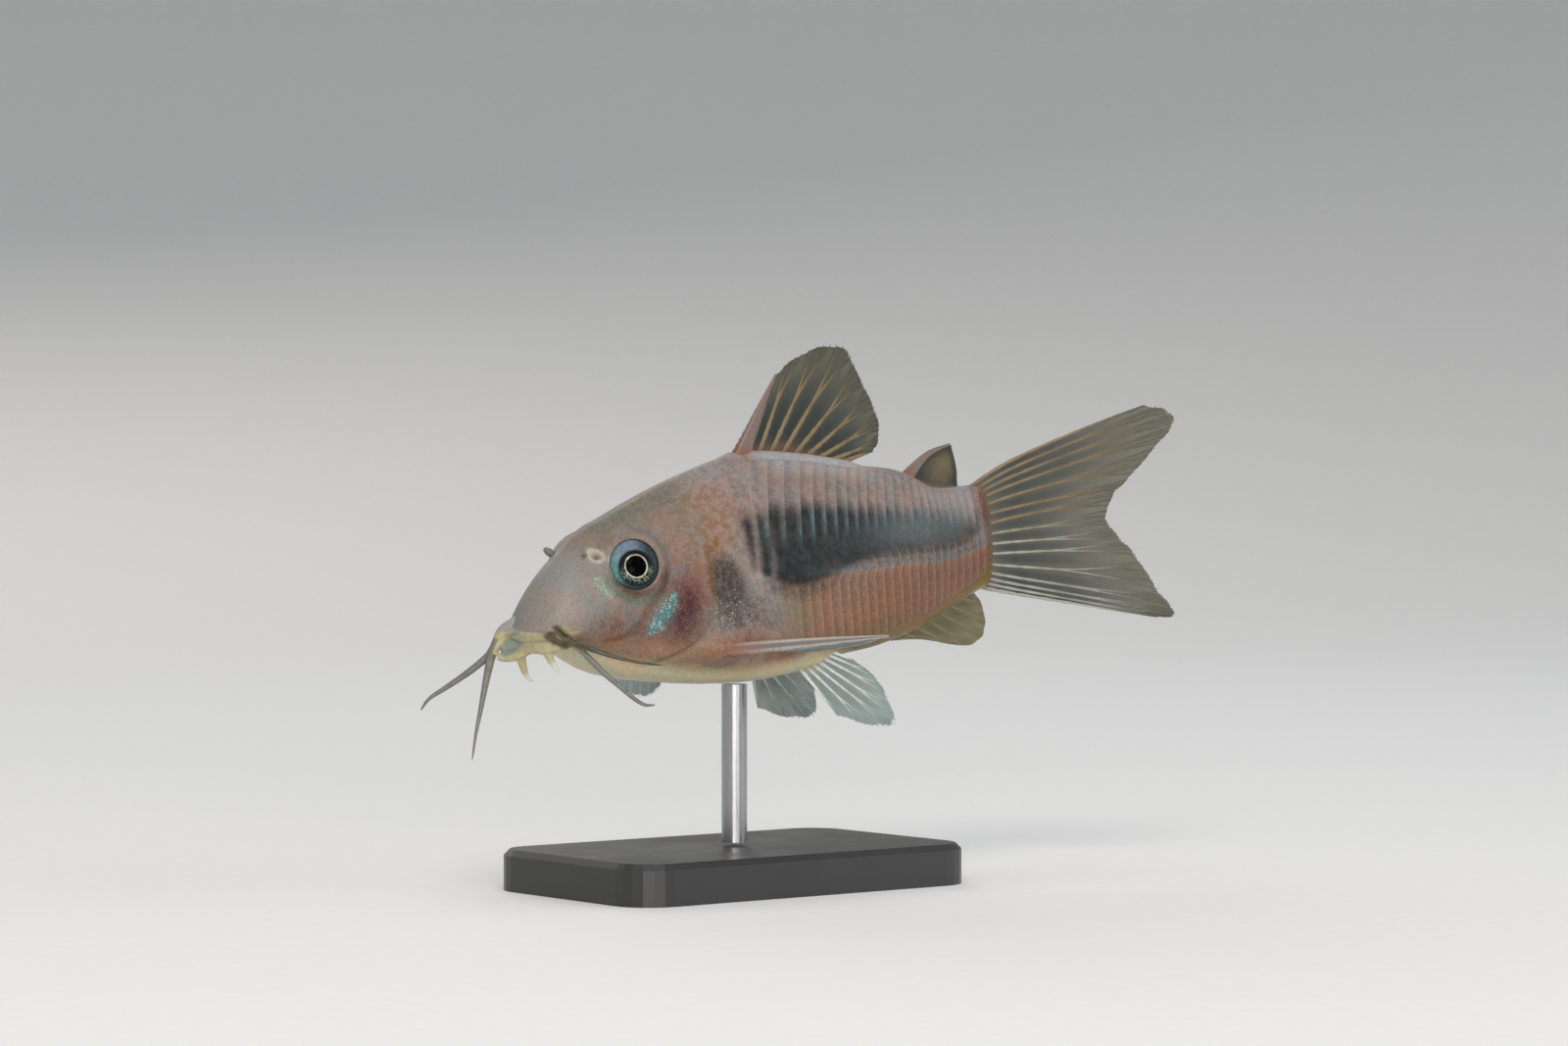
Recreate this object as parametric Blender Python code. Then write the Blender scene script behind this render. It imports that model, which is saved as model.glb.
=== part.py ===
"""Corydoras catfish at life size, swimming above a small display stand.

The animal is first described straight, in millimetres. `along` runs from the tip of the snout
towards the tail, `across` is positive to the animal's right, and `height` is measured from its
axis. pose() then bends the straight animal along its swimming curve and lowers its nose.
The origin is the middle of the stand's underside, with the head towards -X.
"""

import math

import bmesh
import bpy
import numpy as np
from mathutils import Vector

MM = 0.001

# Driving sizes of the body, in millimetres
STANDARD_LENGTH = 52.0
GAP = 0.3
FIN_THICKNESS = 0.5
ROOT_GAP = 0.35
SPINE_GAP = 0.4

# The cuts behind the head and before the tail. The first leans back like the edge of the gill
# cover: the lean grows over one stretch of the head and fades over one of the trunk.
HEAD_END = 16.6
TAIL_START = 36.0
GILL_LEAN = 0.26
GILL_LEAN_GROWS = (8.0, 16.0)
GILL_LEAN_FADES = (16.6, 24.6)
HEAD_RINGS = (0.06, 0.3, 0.8, 1.6, 2.6, 3.6, 4.6, 5.8, 7.2, 8.8, 10.4, 12.2, 14.2, HEAD_END - GAP)
TRUNK_RINGS = 13
TAIL_RINGS = 12
BODY_SIDES = 32

# Stations of the body: along, back, belly, half width, height of the widest point
BODY_STATIONS = (
    (0.0, -4.0, -4.2, 0.0, -4.1),
    (0.35, -3.0, -4.5, 2.2, -4.0),
    (1.2, -1.3, -4.7, 3.2, -3.8),
    (3.0, 1.0, -5.0, 3.9, -3.7),
    (4.6, 2.3, -6.3, 4.2, -3.6),
    (7.0, 3.8, -7.8, 4.7, -3.5),
    (10.0, 5.0, -8.8, 5.3, -3.6),
    (14.0, 6.3, -9.7, 6.1, -4.2),
    (18.0, 7.4, -10.3, 6.8, -4.8),
    (23.8, 8.5, -10.6, 6.8, -4.4),
    (30.0, 7.8, -9.7, 5.8, -3.6),
    (36.0, 6.4, -9.4, 4.5, -2.8),
    (41.5, 5.1, -8.5, 3.4, -2.2),
    (44.5, 3.6, -7.7, 2.7, -2.0),
    (49.0, 3.1, -6.6, 1.8, -1.7),
    (STANDARD_LENGTH, 3.1, -6.2, 1.2, -1.6),
)
# How square the section is above and below the widest point: 2 is an ellipse
ROOF_SQUARENESS = 1.8
SNOUT_FLOOR_SQUARENESS = 2.0
BELLY_FLOOR_SQUARENESS = 3.4
TAIL_FLOOR_SQUARENESS = 2.2
BELLY_FLOOR_STARTS = (3.0, 15.0)
TAIL_FLOOR_STARTS = (28.0, 44.0)
SECTION_POINTS = 40

# Swimming curve: plan headings in degrees and the stretches where one turns into the next
HEAD_HEADING = 5.0
TRUNK_HEADING = -6.0
PEDUNCLE_HEADING = 9.0
CAUDAL_HEADING = -18.0
NECK_BEND = (8.0, 26.0)
TAIL_BEND = (32.0, 46.0)
CAUDAL_BEND = (51.0, 58.0)
NOSE_DOWN = 6.0
AXIS_STEP = 0.5
AXIS_REACH = (-15.0, 85.0)

# Eye: a flattened ball set into its socket
EYE_PLACE = (9.4, 4.2, 0.8)
EYE_RADIUS = 2.2
EYE_DEPTH = 1.5
EYE_FORWARD = 20.0
EYE_UPWARD = 8.0

# Fins in the plane of symmetry: along and height of the outer margin, from front to back
DORSAL_BASE = (25.4, 35.2)
DORSAL_MARGIN = ((29.6, 14.9), (30.9, 16.1), (33.7, 16.9), (35.9, 16.6), (37.3, 13.8), (38.5, 11.4),
                 (39.1, 9.5), (38.4, 7.6))
ADIPOSE_BASE = (43.6, 48.3)
ADIPOSE_MARGIN = ((43.8, 5.2), (45.4, 5.6), (47.8, 6.2), (48.5, 4.6))
ANAL_BASE = (41.0, 49.0)
ANAL_MARGIN = ((40.9, -9.7), (44.8, -10.2), (47.6, -11.0), (49.4, -11.0), (50.9, -10.1), (51.2, -8.8),
               (50.4, -7.4))
CAUDAL_BASE = (2.9, -6.1)
CAUDAL_FORK = (64.2, -1.6)
CAUDAL_UPPER_MARGIN = ((69.3, 8.3), (71.4, 7.7), (72.1, 6.5), (70.2, 4.6), (66.8, 1.7), (65.3, 0.6))
CAUDAL_LOWER_MARGIN = ((68.6, -11.05), (70.2, -11.2), (70.3, -10.5), (69.1, -8.8), (66.9, -5.0),
                       (65.4, -3.3))
CAUDAL_UPPER_SWELL = 0.9

# Spines and barbels: along, across and height of a few points from root to tip, and radii
DORSAL_SPINE = ((24.9, 0.0, 9.5), (26.5, 0.0, 11.2), (29.0, 0.0, 14.7))
DORSAL_SPINE_RADII = (0.5, 0.4, 0.28)
ADIPOSE_SPINE = ((42.2, 0.0, 5.5), (44.4, 0.0, 6.1), (47.8, 0.0, 6.85))
ADIPOSE_SPINE_RADII = (0.5, 0.42, 0.25)
PECTORAL_SPINE_RADII = (0.5, 0.42, 0.26)
BARBELS = {
    "barbel_upper_left": ((1.5, -4.4, -4.3), (3.6, -5.6, -5.4), (6.0, -6.9, -6.4), (8.7, -7.9, -7.3)),
    "barbel_lower_left": ((1.4, -4.3, -5.3), (2.8, -5.9, -7.0), (4.2, -7.6, -9.0), (5.8, -9.2, -10.0)),
    "barbel_upper_right": ((0.6, 4.4, -4.6), (-1.0, 5.2, -6.3), (-2.5, 6.0, -7.5), (-5.0, 8.0, -9.7)),
    "barbel_lower_right": ((0.3, 4.2, -5.7), (-0.5, 4.0, -7.9), (-1.8, 4.0, -10.4), (-3.1, 4.0, -13.9)),
}
BARBEL_RADII = (0.45, 0.36, 0.3, 0.25)
MENTAL_BARBELS = {
    "mental_barbel_left": ((1.3, -1.7, -6.15), (1.6, -1.8, -6.7), (2.4, -1.7, -7.4)),
    "mental_barbel_right": ((0.9, 1.8, -6.2), (1.2, 1.9, -7.0), (2.1, 1.8, -7.8)),
}
MENTAL_RADII = (0.35, 0.3, 0.25)
LIP_CENTRE = (1.9, 0.0, -5.45)
LIP_RADII = (1.3, 3.1, 0.42)

# Paired fins. A pectoral ray is its length, its spread from the body's axis and its droop,
# in millimetres and degrees, with the spine first: the left fin lies level, the right one droops.
PECTORAL_ROOT = (17.0, 7.3, -7.0)
PECTORAL_BASE = 1.6
PECTORAL_WEB_REACH = 0.94
PECTORAL_RAYS = {
    "left": ((13.8, 37.0, 0.0), (11.6, 30.0, 1.0), (9.2, 21.0, 2.0), (6.8, 11.0, 3.0), (4.6, 4.0, 3.0)),
    "right": ((13.8, 76.0, 13.0), (12.0, 67.0, 26.0), (10.6, 57.0, 33.0), (8.2, 45.0, 36.0),
              (5.6, 28.0, 33.0)),
}
PELVIC_ROOT = ((26.6, 3.8, -10.9), (28.0, 3.5, -10.4), (29.4, 3.2, -9.9))
PELVIC_MARGIN = ((29.0, 6.4, -14.5), (31.2, 7.1, -15.3), (33.0, 6.9, -15.6), (33.8, 6.1, -14.9),
                 (33.7, 5.2, -13.4), (32.9, 4.3, -12.2), (31.4, 3.7, -10.8))
SIDES = {"left": -1, "right": 1}

# Stand
BASE_SIZE = (36.0, 22.0, 3.5)
BASE_CORNER = 3.5
BASE_EDGE = 0.5
ROD_RADIUS = 1.1
ROD_LENGTH = 13.5
ROD_ALONG = 22.0
CORNER_STEPS = 6
ROD_SIDES = 24

# How finely the small pieces are drawn
EYE_SEGMENTS = (24, 12)
LIP_SEGMENTS = (20, 10)
TUBE_RINGS_PER_SPAN = 4
TUBE_GUIDE = Vector((0.0, 1.0, 0.3))


def clear_scene():
    for thing in list(bpy.data.objects):
        bpy.data.objects.remove(thing, do_unlink=True)


def material(name, colour, roughness, metallic=0.0, alpha=1.0):
    made = bpy.data.materials.new(name)
    made.use_nodes = True
    surface = made.node_tree.nodes["Principled BSDF"]
    surface.inputs["Base Color"].default_value = (*colour, 1.0)
    surface.inputs["Roughness"].default_value = roughness
    surface.inputs["Metallic"].default_value = metallic
    surface.inputs["Alpha"].default_value = alpha
    return made


def ease(value):
    """0 to 1 with a soft start and a soft end."""
    value = min(max(value, 0.0), 1.0)
    return value * value * (3.0 - 2.0 * value)


def grown(along, stretch):
    """How far a change that happens over a stretch of the body has gone at one place, 0 to 1."""
    start, end = stretch
    return ease((along - start) / (end - start))


def through(where, knots, values):
    """A smooth curve through values given at the knots, read at one place."""
    knots = np.asarray(knots, float)
    values = np.asarray(values, float)
    slopes = np.gradient(values, knots, axis=0)
    last = len(knots) - 2
    span = int(np.clip(np.searchsorted(knots, where) - 1, 0, last))
    width = knots[span + 1] - knots[span]
    t = (where - knots[span]) / width
    start = values[span] * (1 + 2 * t) * (1 - t) ** 2 + slopes[span] * width * t * (1 - t) ** 2
    end = values[span + 1] * t * t * (3 - 2 * t) - slopes[span + 1] * width * t * t * (1 - t)
    return start + end


def curve_point(points, share):
    """The point at a share, 0 to 1, of a smooth curve through a few points."""
    knots = np.linspace(0.0, 1.0, len(points))
    return through(share, knots, points)


def heading(along):
    """Plan direction of the body's axis at one place, in radians."""
    turn = HEAD_HEADING
    bends = ((NECK_BEND, TRUNK_HEADING), (TAIL_BEND, PEDUNCLE_HEADING), (CAUDAL_BEND, CAUDAL_HEADING))
    for stretch, target in bends:
        turn += (target - turn) * grown(along, stretch)
    return math.radians(turn)


def axis_directions(along):
    """Tailward, rightward and upward unit vectors of the body at one place."""
    turn = heading(along)
    tilt = math.radians(NOSE_DOWN)
    level = Vector((math.cos(turn), math.sin(turn), 0.0))
    tailward = level * math.cos(tilt) + Vector((0.0, 0.0, math.sin(tilt)))
    rightward = Vector((-math.sin(turn), math.cos(turn), 0.0))
    upward = tailward.cross(rightward)
    return tailward, rightward, upward


def trace_axis():
    """Closely spaced points of the bent axis, starting ahead of the snout."""
    places = np.arange(*AXIS_REACH, AXIS_STEP)
    points = [Vector((0.0, 0.0, 0.0))]
    for along in places[:-1]:
        points.append(points[-1] + axis_directions(along + AXIS_STEP / 2)[0] * AXIS_STEP)
    return places, np.array(points)


AXIS_PLACES, AXIS_POINTS = trace_axis()


def unplaced(along, across, height):
    """A straight point bent along the swimming curve, before it is set on the stand."""
    centre = Vector([np.interp(along, AXIS_PLACES, AXIS_POINTS[:, k]) for k in range(3)])
    _, rightward, upward = axis_directions(along)
    return centre + rightward * across + upward * height


def body_values(along):
    """Back, belly, half width and waist height at one place."""
    stations = np.array(BODY_STATIONS)
    return through(math.sqrt(max(along, 0.0)), np.sqrt(stations[:, 0]), stations[:, 1:])


def floor_squareness(along):
    square = SNOUT_FLOOR_SQUARENESS
    square += (BELLY_FLOOR_SQUARENESS - square) * grown(along, BELLY_FLOOR_STARTS)
    square += (TAIL_FLOOR_SQUARENESS - square) * grown(along, TAIL_FLOOR_STARTS)
    return square


def body_point(along, share, side):
    """A point of the body's surface: share runs from 0 at the back ridge to 1 at the keel."""
    back, belly, half_width, waist = body_values(along)
    turn = np.linspace(math.pi / 2, 0.0, SECTION_POINTS)
    roof = 2.0 / ROOF_SQUARENESS
    floor = 2.0 / floor_squareness(along)
    across = half_width * np.cos(turn) ** roof
    height = waist + (back - waist) * np.sin(turn) ** roof
    across_low = half_width * np.cos(turn[::-1]) ** floor
    height_low = waist + (belly - waist) * np.sin(turn[::-1]) ** floor
    across = np.concatenate([across, across_low[1:]])
    height = np.concatenate([height, height_low[1:]])
    steps = np.hypot(np.diff(across), np.diff(height))
    walked = np.concatenate([[0.0], np.cumsum(steps)])
    reach = share * walked[-1]
    return side * float(np.interp(reach, walked, across)), float(np.interp(reach, walked, height))


def support_point():
    """Where the rod meets the belly, before the animal is set on the stand."""
    return unplaced(ROD_ALONG, 0.0, body_values(ROD_ALONG)[1])


STAND_TOP = BASE_SIZE[2] + GAP + ROD_LENGTH + GAP
SHIFT = Vector((0.0, 0.0, STAND_TOP)) - support_point()


def pose(along, across, height):
    """A straight point in its final place, in metres."""
    return (unplaced(along, across, height) + SHIFT) * MM


def add_object(name, build, finish, sharp_degrees=50.0):
    mesh = bpy.data.meshes.new(name)
    bmesh.ops.recalc_face_normals(build, faces=build.faces)
    build.to_mesh(mesh)
    build.free()
    mesh.materials.append(finish)
    mesh.shade_smooth()
    mesh.set_sharp_from_angle(angle=math.radians(sharp_degrees))
    made = bpy.data.objects.new(name, mesh)
    bpy.context.scene.collection.objects.link(made)
    return made


def bridge(build, first, second):
    """Quads between two rings of as many vertices."""
    for k in range(len(first)):
        after = (k + 1) % len(first)
        build.faces.new((first[k], first[after], second[after], second[k]))


def body_ring(build, along, lean):
    """One ring round the body; lean slants it so that its top lies further back."""
    ring = []
    for k in range(BODY_SIDES):
        share = 2.0 * k / BODY_SIDES
        side = 1 if share <= 1.0 else -1
        share = share if share <= 1.0 else 2.0 - share
        height = body_point(along, share, side)[1]
        place = along + lean * height
        across, height = body_point(place, share, side)
        ring.append(build.verts.new(pose(place, across, height)))
    return ring


def body_length(name, places, leans, finish, pointed=False):
    """A closed length of the body through the rings at the given places."""
    build = bmesh.new()
    rings = [body_ring(build, along, lean) for along, lean in zip(places, leans)]
    for first, second in zip(rings, rings[1:]):
        bridge(build, first, second)
    build.faces.new(rings[-1])
    if pointed:
        tip = build.verts.new(pose(0.0, 0.0, BODY_STATIONS[0][4]))
        for k in range(BODY_SIDES):
            build.faces.new((rings[0][k], rings[0][(k + 1) % BODY_SIDES], tip))
    else:
        build.faces.new(rings[0])
    return add_object(name, build, finish)


def eye_frame(side):
    """Centre, outward axis and radial directions of one eye, in metres."""
    along, across, height = EYE_PLACE
    centre = pose(along, side * across, height)
    tailward, rightward, upward = axis_directions(along)
    forward = math.radians(EYE_FORWARD)
    rise = math.radians(EYE_UPWARD)
    level = rightward * side * math.cos(forward) - tailward * math.sin(forward)
    outward = (level * math.cos(rise) + upward * math.sin(rise)).normalized()
    sideways = upward.cross(outward).normalized()
    return centre, outward, sideways, outward.cross(sideways)


def eye_ball(name, side, clearance, finish):
    """A flattened ball at one eye, grown on all sides by the clearance."""
    centre, outward, sideways, upright = eye_frame(side)
    build = bmesh.new()
    bmesh.ops.create_uvsphere(build, u_segments=EYE_SEGMENTS[0], v_segments=EYE_SEGMENTS[1], radius=1.0)
    radius = (EYE_RADIUS + clearance) * MM
    depth = (EYE_DEPTH + clearance) * MM
    for vertex in build.verts:
        x, y, z = vertex.co
        vertex.co = centre + sideways * x * radius + upright * y * radius + outward * z * depth
    return add_object(name, build, finish)


def cut_away(target, cutter):
    """The cutter's shape taken out of the target."""
    cutter.hide_render = True
    cutter.display_type = "WIRE"
    cut = target.modifiers.new(cutter.name, "BOOLEAN")
    cut.operation = "DIFFERENCE"
    cut.object = cutter


def make_head(flesh):
    leans = [GILL_LEAN * grown(along, GILL_LEAN_GROWS) for along in HEAD_RINGS]
    head = body_length("head", HEAD_RINGS, leans, flesh, pointed=True)
    for word, side in SIDES.items():
        cut_away(head, eye_ball(f"socket_cutter_{word}", side, GAP, flesh))


def make_trunk_and_tail(flesh):
    trunk = np.linspace(HEAD_END, TAIL_START - GAP, TRUNK_RINGS)
    leans = [GILL_LEAN * (1.0 - grown(along, GILL_LEAN_FADES)) for along in trunk]
    body_length("trunk", trunk, leans, flesh)
    tail = np.linspace(TAIL_START, STANDARD_LENGTH, TAIL_RINGS)
    body_length("tail", tail, np.zeros(TAIL_RINGS), flesh)


def make_eyes(finish):
    for word, side in SIDES.items():
        eye_ball(f"eye_{word}", side, 0.0, finish)


def tube(name, points, radii, finish, sides=8):
    """A closed tapering tube along a smooth curve through straight points."""
    count = TUBE_RINGS_PER_SPAN * (len(points) - 1) + 1
    path = [pose(*curve_point(points, k / (count - 1))) for k in range(count)]
    build = bmesh.new()
    rings = []
    for k, centre in enumerate(path):
        direction = (path[min(k + 1, count - 1)] - path[max(k - 1, 0)]).normalized()
        first = direction.cross(TUBE_GUIDE).normalized()
        second = direction.cross(first)
        radius = float(curve_point(radii, k / (count - 1))) * MM
        ring = []
        for n in range(sides):
            turn = 2.0 * math.pi * n / sides
            offset = first * math.cos(turn) + second * math.sin(turn)
            ring.append(build.verts.new(centre + offset * radius))
        rings.append(ring)
    for first_ring, second_ring in zip(rings, rings[1:]):
        bridge(build, first_ring, second_ring)
    build.faces.new(rings[0])
    build.faces.new(rings[-1])
    return add_object(name, build, finish)


def fin_sheet(name, root, margin, finish, columns=12, rows=6, swell=(0.0, 0.0, 0.0)):
    """A thin fin between its root and its outer margin, both given from front to back.

    The swell bends the fin's leading rays outwards; it fades away towards the last ray."""
    build = bmesh.new()
    grid = []
    for i in range(columns + 1):
        share = i / columns
        inner = curve_point(root, share)
        outer = curve_point(margin, share)
        line = []
        for j in range(rows + 1):
            reach = j / rows
            bow = np.array(swell) * 4.0 * reach * (1.0 - reach) * (1.0 - share) ** 2
            line.append(build.verts.new(pose(*(inner + (outer - inner) * reach + bow))))
        grid.append(line)
    for i in range(columns):
        for j in range(rows):
            build.faces.new((grid[i][j], grid[i + 1][j], grid[i + 1][j + 1], grid[i][j + 1]))
    sheet = add_object(name, build, finish)
    thick = sheet.modifiers.new("thickness", "SOLIDIFY")
    thick.thickness = FIN_THICKNESS * MM
    thick.offset = 0.0
    return sheet


def outline_root(base, outline, clearance):
    """Points along the back or the keel, a clearance outside it; outline 0 is the back, 1 the keel."""
    outward = (1, -1)[outline]
    places = np.linspace(*base, 4)
    return [(along, 0.0, body_values(along)[outline] + outward * clearance) for along in places]


def level_points(margin):
    """Points in the plane of symmetry from pairs of along and height."""
    return [(along, 0.0, height) for along, height in margin]


def make_dorsal_fin(bone, web):
    tube("dorsal_spine", DORSAL_SPINE, DORSAL_SPINE_RADII, bone)
    root = outline_root(DORSAL_BASE, 0, ROOT_GAP)
    fin_sheet("dorsal_fin", root, level_points(DORSAL_MARGIN), web, columns=14, rows=8)


def make_adipose_fin(bone, web):
    tube("adipose_spine", ADIPOSE_SPINE, ADIPOSE_SPINE_RADII, bone)
    root = outline_root(ADIPOSE_BASE, 0, ROOT_GAP)
    fin_sheet("adipose_fin", root, level_points(ADIPOSE_MARGIN), web, columns=8, rows=3)


def make_anal_fin(web):
    root = outline_root(ANAL_BASE, 1, ROOT_GAP)
    fin_sheet("anal_fin", root, level_points(ANAL_MARGIN), web)


def make_caudal_fin(web):
    """Two lobes that part along the line from the middle of the base to the fork."""
    start = STANDARD_LENGTH + ROOT_GAP
    fork_along, middle = CAUDAL_FORK
    lobes = (
        ("caudal_upper_lobe", CAUDAL_BASE[0], CAUDAL_UPPER_MARGIN, GAP / 2, CAUDAL_UPPER_SWELL),
        ("caudal_lower_lobe", CAUDAL_BASE[1], CAUDAL_LOWER_MARGIN, -GAP / 2, 0.0),
    )
    for name, edge, margin, step, swell in lobes:
        inner = middle + step
        root = [(start, 0.0, edge), (start, 0.0, inner)]
        outer = level_points(margin + ((fork_along, inner),))
        fin_sheet(name, root, outer, web, columns=14, rows=8, swell=(0.0, 0.0, swell))


def ray_tip(root, side, length, spread, droop):
    """The end of a ray: spread turns it out from the body's axis, droop lowers it, in degrees."""
    level = length * math.cos(math.radians(droop))
    return (
        root[0] + level * math.cos(math.radians(spread)),
        root[1] + side * level * math.sin(math.radians(spread)),
        root[2] - length * math.sin(math.radians(droop)),
    )


def make_pectoral_fin(word, bone, web):
    """A stout spine and the fan of rays behind it."""
    side = SIDES[word]
    rays = PECTORAL_RAYS[word]
    root = (PECTORAL_ROOT[0], side * PECTORAL_ROOT[1], PECTORAL_ROOT[2])
    spine_tip = ray_tip(root, side, *rays[0])
    middle = tuple((a + b) / 2 for a, b in zip(root, spine_tip))
    tube(f"pectoral_spine_{word}", (root, middle, spine_tip), PECTORAL_SPINE_RADII, bone)
    length, spread, droop = rays[0]
    slant = math.sin(math.radians(spread))
    behind = (root[0] + (PECTORAL_SPINE_RADII[0] + SPINE_GAP) / slant, root[1], root[2])
    inner = (behind[0] + PECTORAL_BASE, root[1], root[2])
    margin = [ray_tip(behind, side, length * PECTORAL_WEB_REACH, spread, droop)]
    margin += [ray_tip(behind, side, *ray) for ray in rays[1:]]
    fin_sheet(f"pectoral_fin_{word}", [behind, inner], margin, web, columns=10)


def make_pelvic_fin(word, web):
    side = SIDES[word]
    root = [(along, side * across, height) for along, across, height in PELVIC_ROOT]
    margin = [(along, side * across, height) for along, across, height in PELVIC_MARGIN]
    fin_sheet(f"pelvic_fin_{word}", root, margin, web, columns=10)


def make_barbels(skin):
    """Two at each corner of the mouth and a short pair on the lower lip."""
    for name, points in BARBELS.items():
        tube(name, points, BARBEL_RADII, skin)
    for name, points in MENTAL_BARBELS.items():
        tube(name, points, MENTAL_RADII, skin, sides=6)


def make_lower_lip(flesh):
    """The soft pad under the mouth that carries the chin barbels."""
    build = bmesh.new()
    bmesh.ops.create_uvsphere(build, u_segments=LIP_SEGMENTS[0], v_segments=LIP_SEGMENTS[1], radius=1.0)
    for vertex in build.verts:
        vertex.co = pose(*(LIP_CENTRE[k] + LIP_RADII[k] * vertex.co[k] for k in range(3)))
    add_object("lower_lip", build, flesh)


def rounded_rectangle(build, size, radius, height):
    """A ring of vertices with round corners at one height."""
    ring = []
    for corner in range(4):
        sign_x = 1 if corner in (0, 3) else -1
        sign_y = 1 if corner in (0, 1) else -1
        for n in range(CORNER_STEPS + 1):
            turn = math.pi / 2 * (corner + n / CORNER_STEPS)
            x = sign_x * (size[0] / 2 - radius) + radius * math.cos(turn)
            y = sign_y * (size[1] / 2 - radius) + radius * math.sin(turn)
            ring.append(build.verts.new((x * MM, y * MM, height * MM)))
    return ring


def make_stand(base_finish, rod_finish):
    """A flat base with a soft upper edge, and one rod up to the belly."""
    build = bmesh.new()
    inset = (BASE_SIZE[0] - 2 * BASE_EDGE, BASE_SIZE[1] - 2 * BASE_EDGE)
    rings = [
        rounded_rectangle(build, BASE_SIZE, BASE_CORNER, 0.0),
        rounded_rectangle(build, BASE_SIZE, BASE_CORNER, BASE_SIZE[2] - BASE_EDGE),
        rounded_rectangle(build, inset, BASE_CORNER - BASE_EDGE, BASE_SIZE[2]),
    ]
    for first, second in zip(rings, rings[1:]):
        bridge(build, first, second)
    build.faces.new(rings[0])
    build.faces.new(rings[-1])
    add_object("stand_base", build, base_finish, sharp_degrees=30.0)

    build = bmesh.new()
    bmesh.ops.create_cone(build, cap_ends=True, segments=ROD_SIDES, radius1=ROD_RADIUS * MM,
                          radius2=ROD_RADIUS * MM, depth=ROD_LENGTH * MM)
    middle = (BASE_SIZE[2] + GAP + ROD_LENGTH / 2) * MM
    bmesh.ops.translate(build, verts=build.verts, vec=(0.0, 0.0, middle))
    add_object("stand_rod", build, rod_finish)


def main():
    clear_scene()
    flesh = material("bronze skin", (0.35, 0.24, 0.19), 0.4)
    lip = material("cream lip skin", (0.72, 0.62, 0.45), 0.45)
    bone = material("spine bone", (0.62, 0.55, 0.47), 0.4)
    web = material("fin web", (0.32, 0.27, 0.22), 0.4, alpha=0.7)
    pale_web = material("pale fin web", (0.62, 0.62, 0.6), 0.4, alpha=0.7)
    eye = material("eye", (0.02, 0.03, 0.05), 0.1)
    lacquer = material("base lacquer", (0.05, 0.05, 0.055), 0.35)
    steel = material("rod steel", (0.6, 0.6, 0.6), 0.3, metallic=1.0)
    make_head(flesh)
    make_trunk_and_tail(flesh)
    make_eyes(eye)
    make_lower_lip(lip)
    make_barbels(lip)
    make_dorsal_fin(bone, web)
    make_adipose_fin(bone, web)
    make_anal_fin(web)
    make_caudal_fin(web)
    for word in SIDES:
        make_pectoral_fin(word, bone, pale_web)
        make_pelvic_fin(word, pale_web)
    make_stand(lacquer, steel)


main()
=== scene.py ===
"""Looks of a life-size corydoras catfish that swims above a small display stand.

The fish is described straight, in millimetres: along runs from the snout to the tail, across is
positive to the fish's right, height is measured from its axis, and share runs round one side of
the body from 0 at the back ridge to 1 at the keel. pose() bends that fish along its swimming
curve and sets it on the stand.
"""

import math

import bmesh
import bpy
import numpy as np
from bpy.props import BoolProperty, FloatProperty, FloatVectorProperty, IntProperty, PointerProperty
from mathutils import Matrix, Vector


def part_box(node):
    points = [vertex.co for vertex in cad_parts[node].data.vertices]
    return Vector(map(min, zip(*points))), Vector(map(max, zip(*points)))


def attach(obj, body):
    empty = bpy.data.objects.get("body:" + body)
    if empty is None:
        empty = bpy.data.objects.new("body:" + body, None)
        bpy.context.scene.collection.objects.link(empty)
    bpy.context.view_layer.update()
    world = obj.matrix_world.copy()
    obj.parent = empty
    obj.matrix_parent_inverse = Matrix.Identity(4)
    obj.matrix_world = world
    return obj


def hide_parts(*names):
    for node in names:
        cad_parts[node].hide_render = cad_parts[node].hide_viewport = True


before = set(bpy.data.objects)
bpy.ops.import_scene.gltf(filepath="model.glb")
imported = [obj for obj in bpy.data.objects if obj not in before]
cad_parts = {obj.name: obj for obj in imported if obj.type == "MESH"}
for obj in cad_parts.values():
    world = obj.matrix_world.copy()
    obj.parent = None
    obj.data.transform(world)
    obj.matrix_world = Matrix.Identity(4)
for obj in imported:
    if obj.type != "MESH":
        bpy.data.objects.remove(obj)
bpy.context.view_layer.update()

bl_info = {
    "name": "Corydoras Model Maker",
    "version": (1, 0, 0),
    "blender": (4, 5, 0),
    "location": "View3D > Sidebar > Corydoras",
    "description": "Skin, plates, fins, eyes and stand of a life-size corydoras model",
    "category": "Object",
}

MM = 0.001

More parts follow.
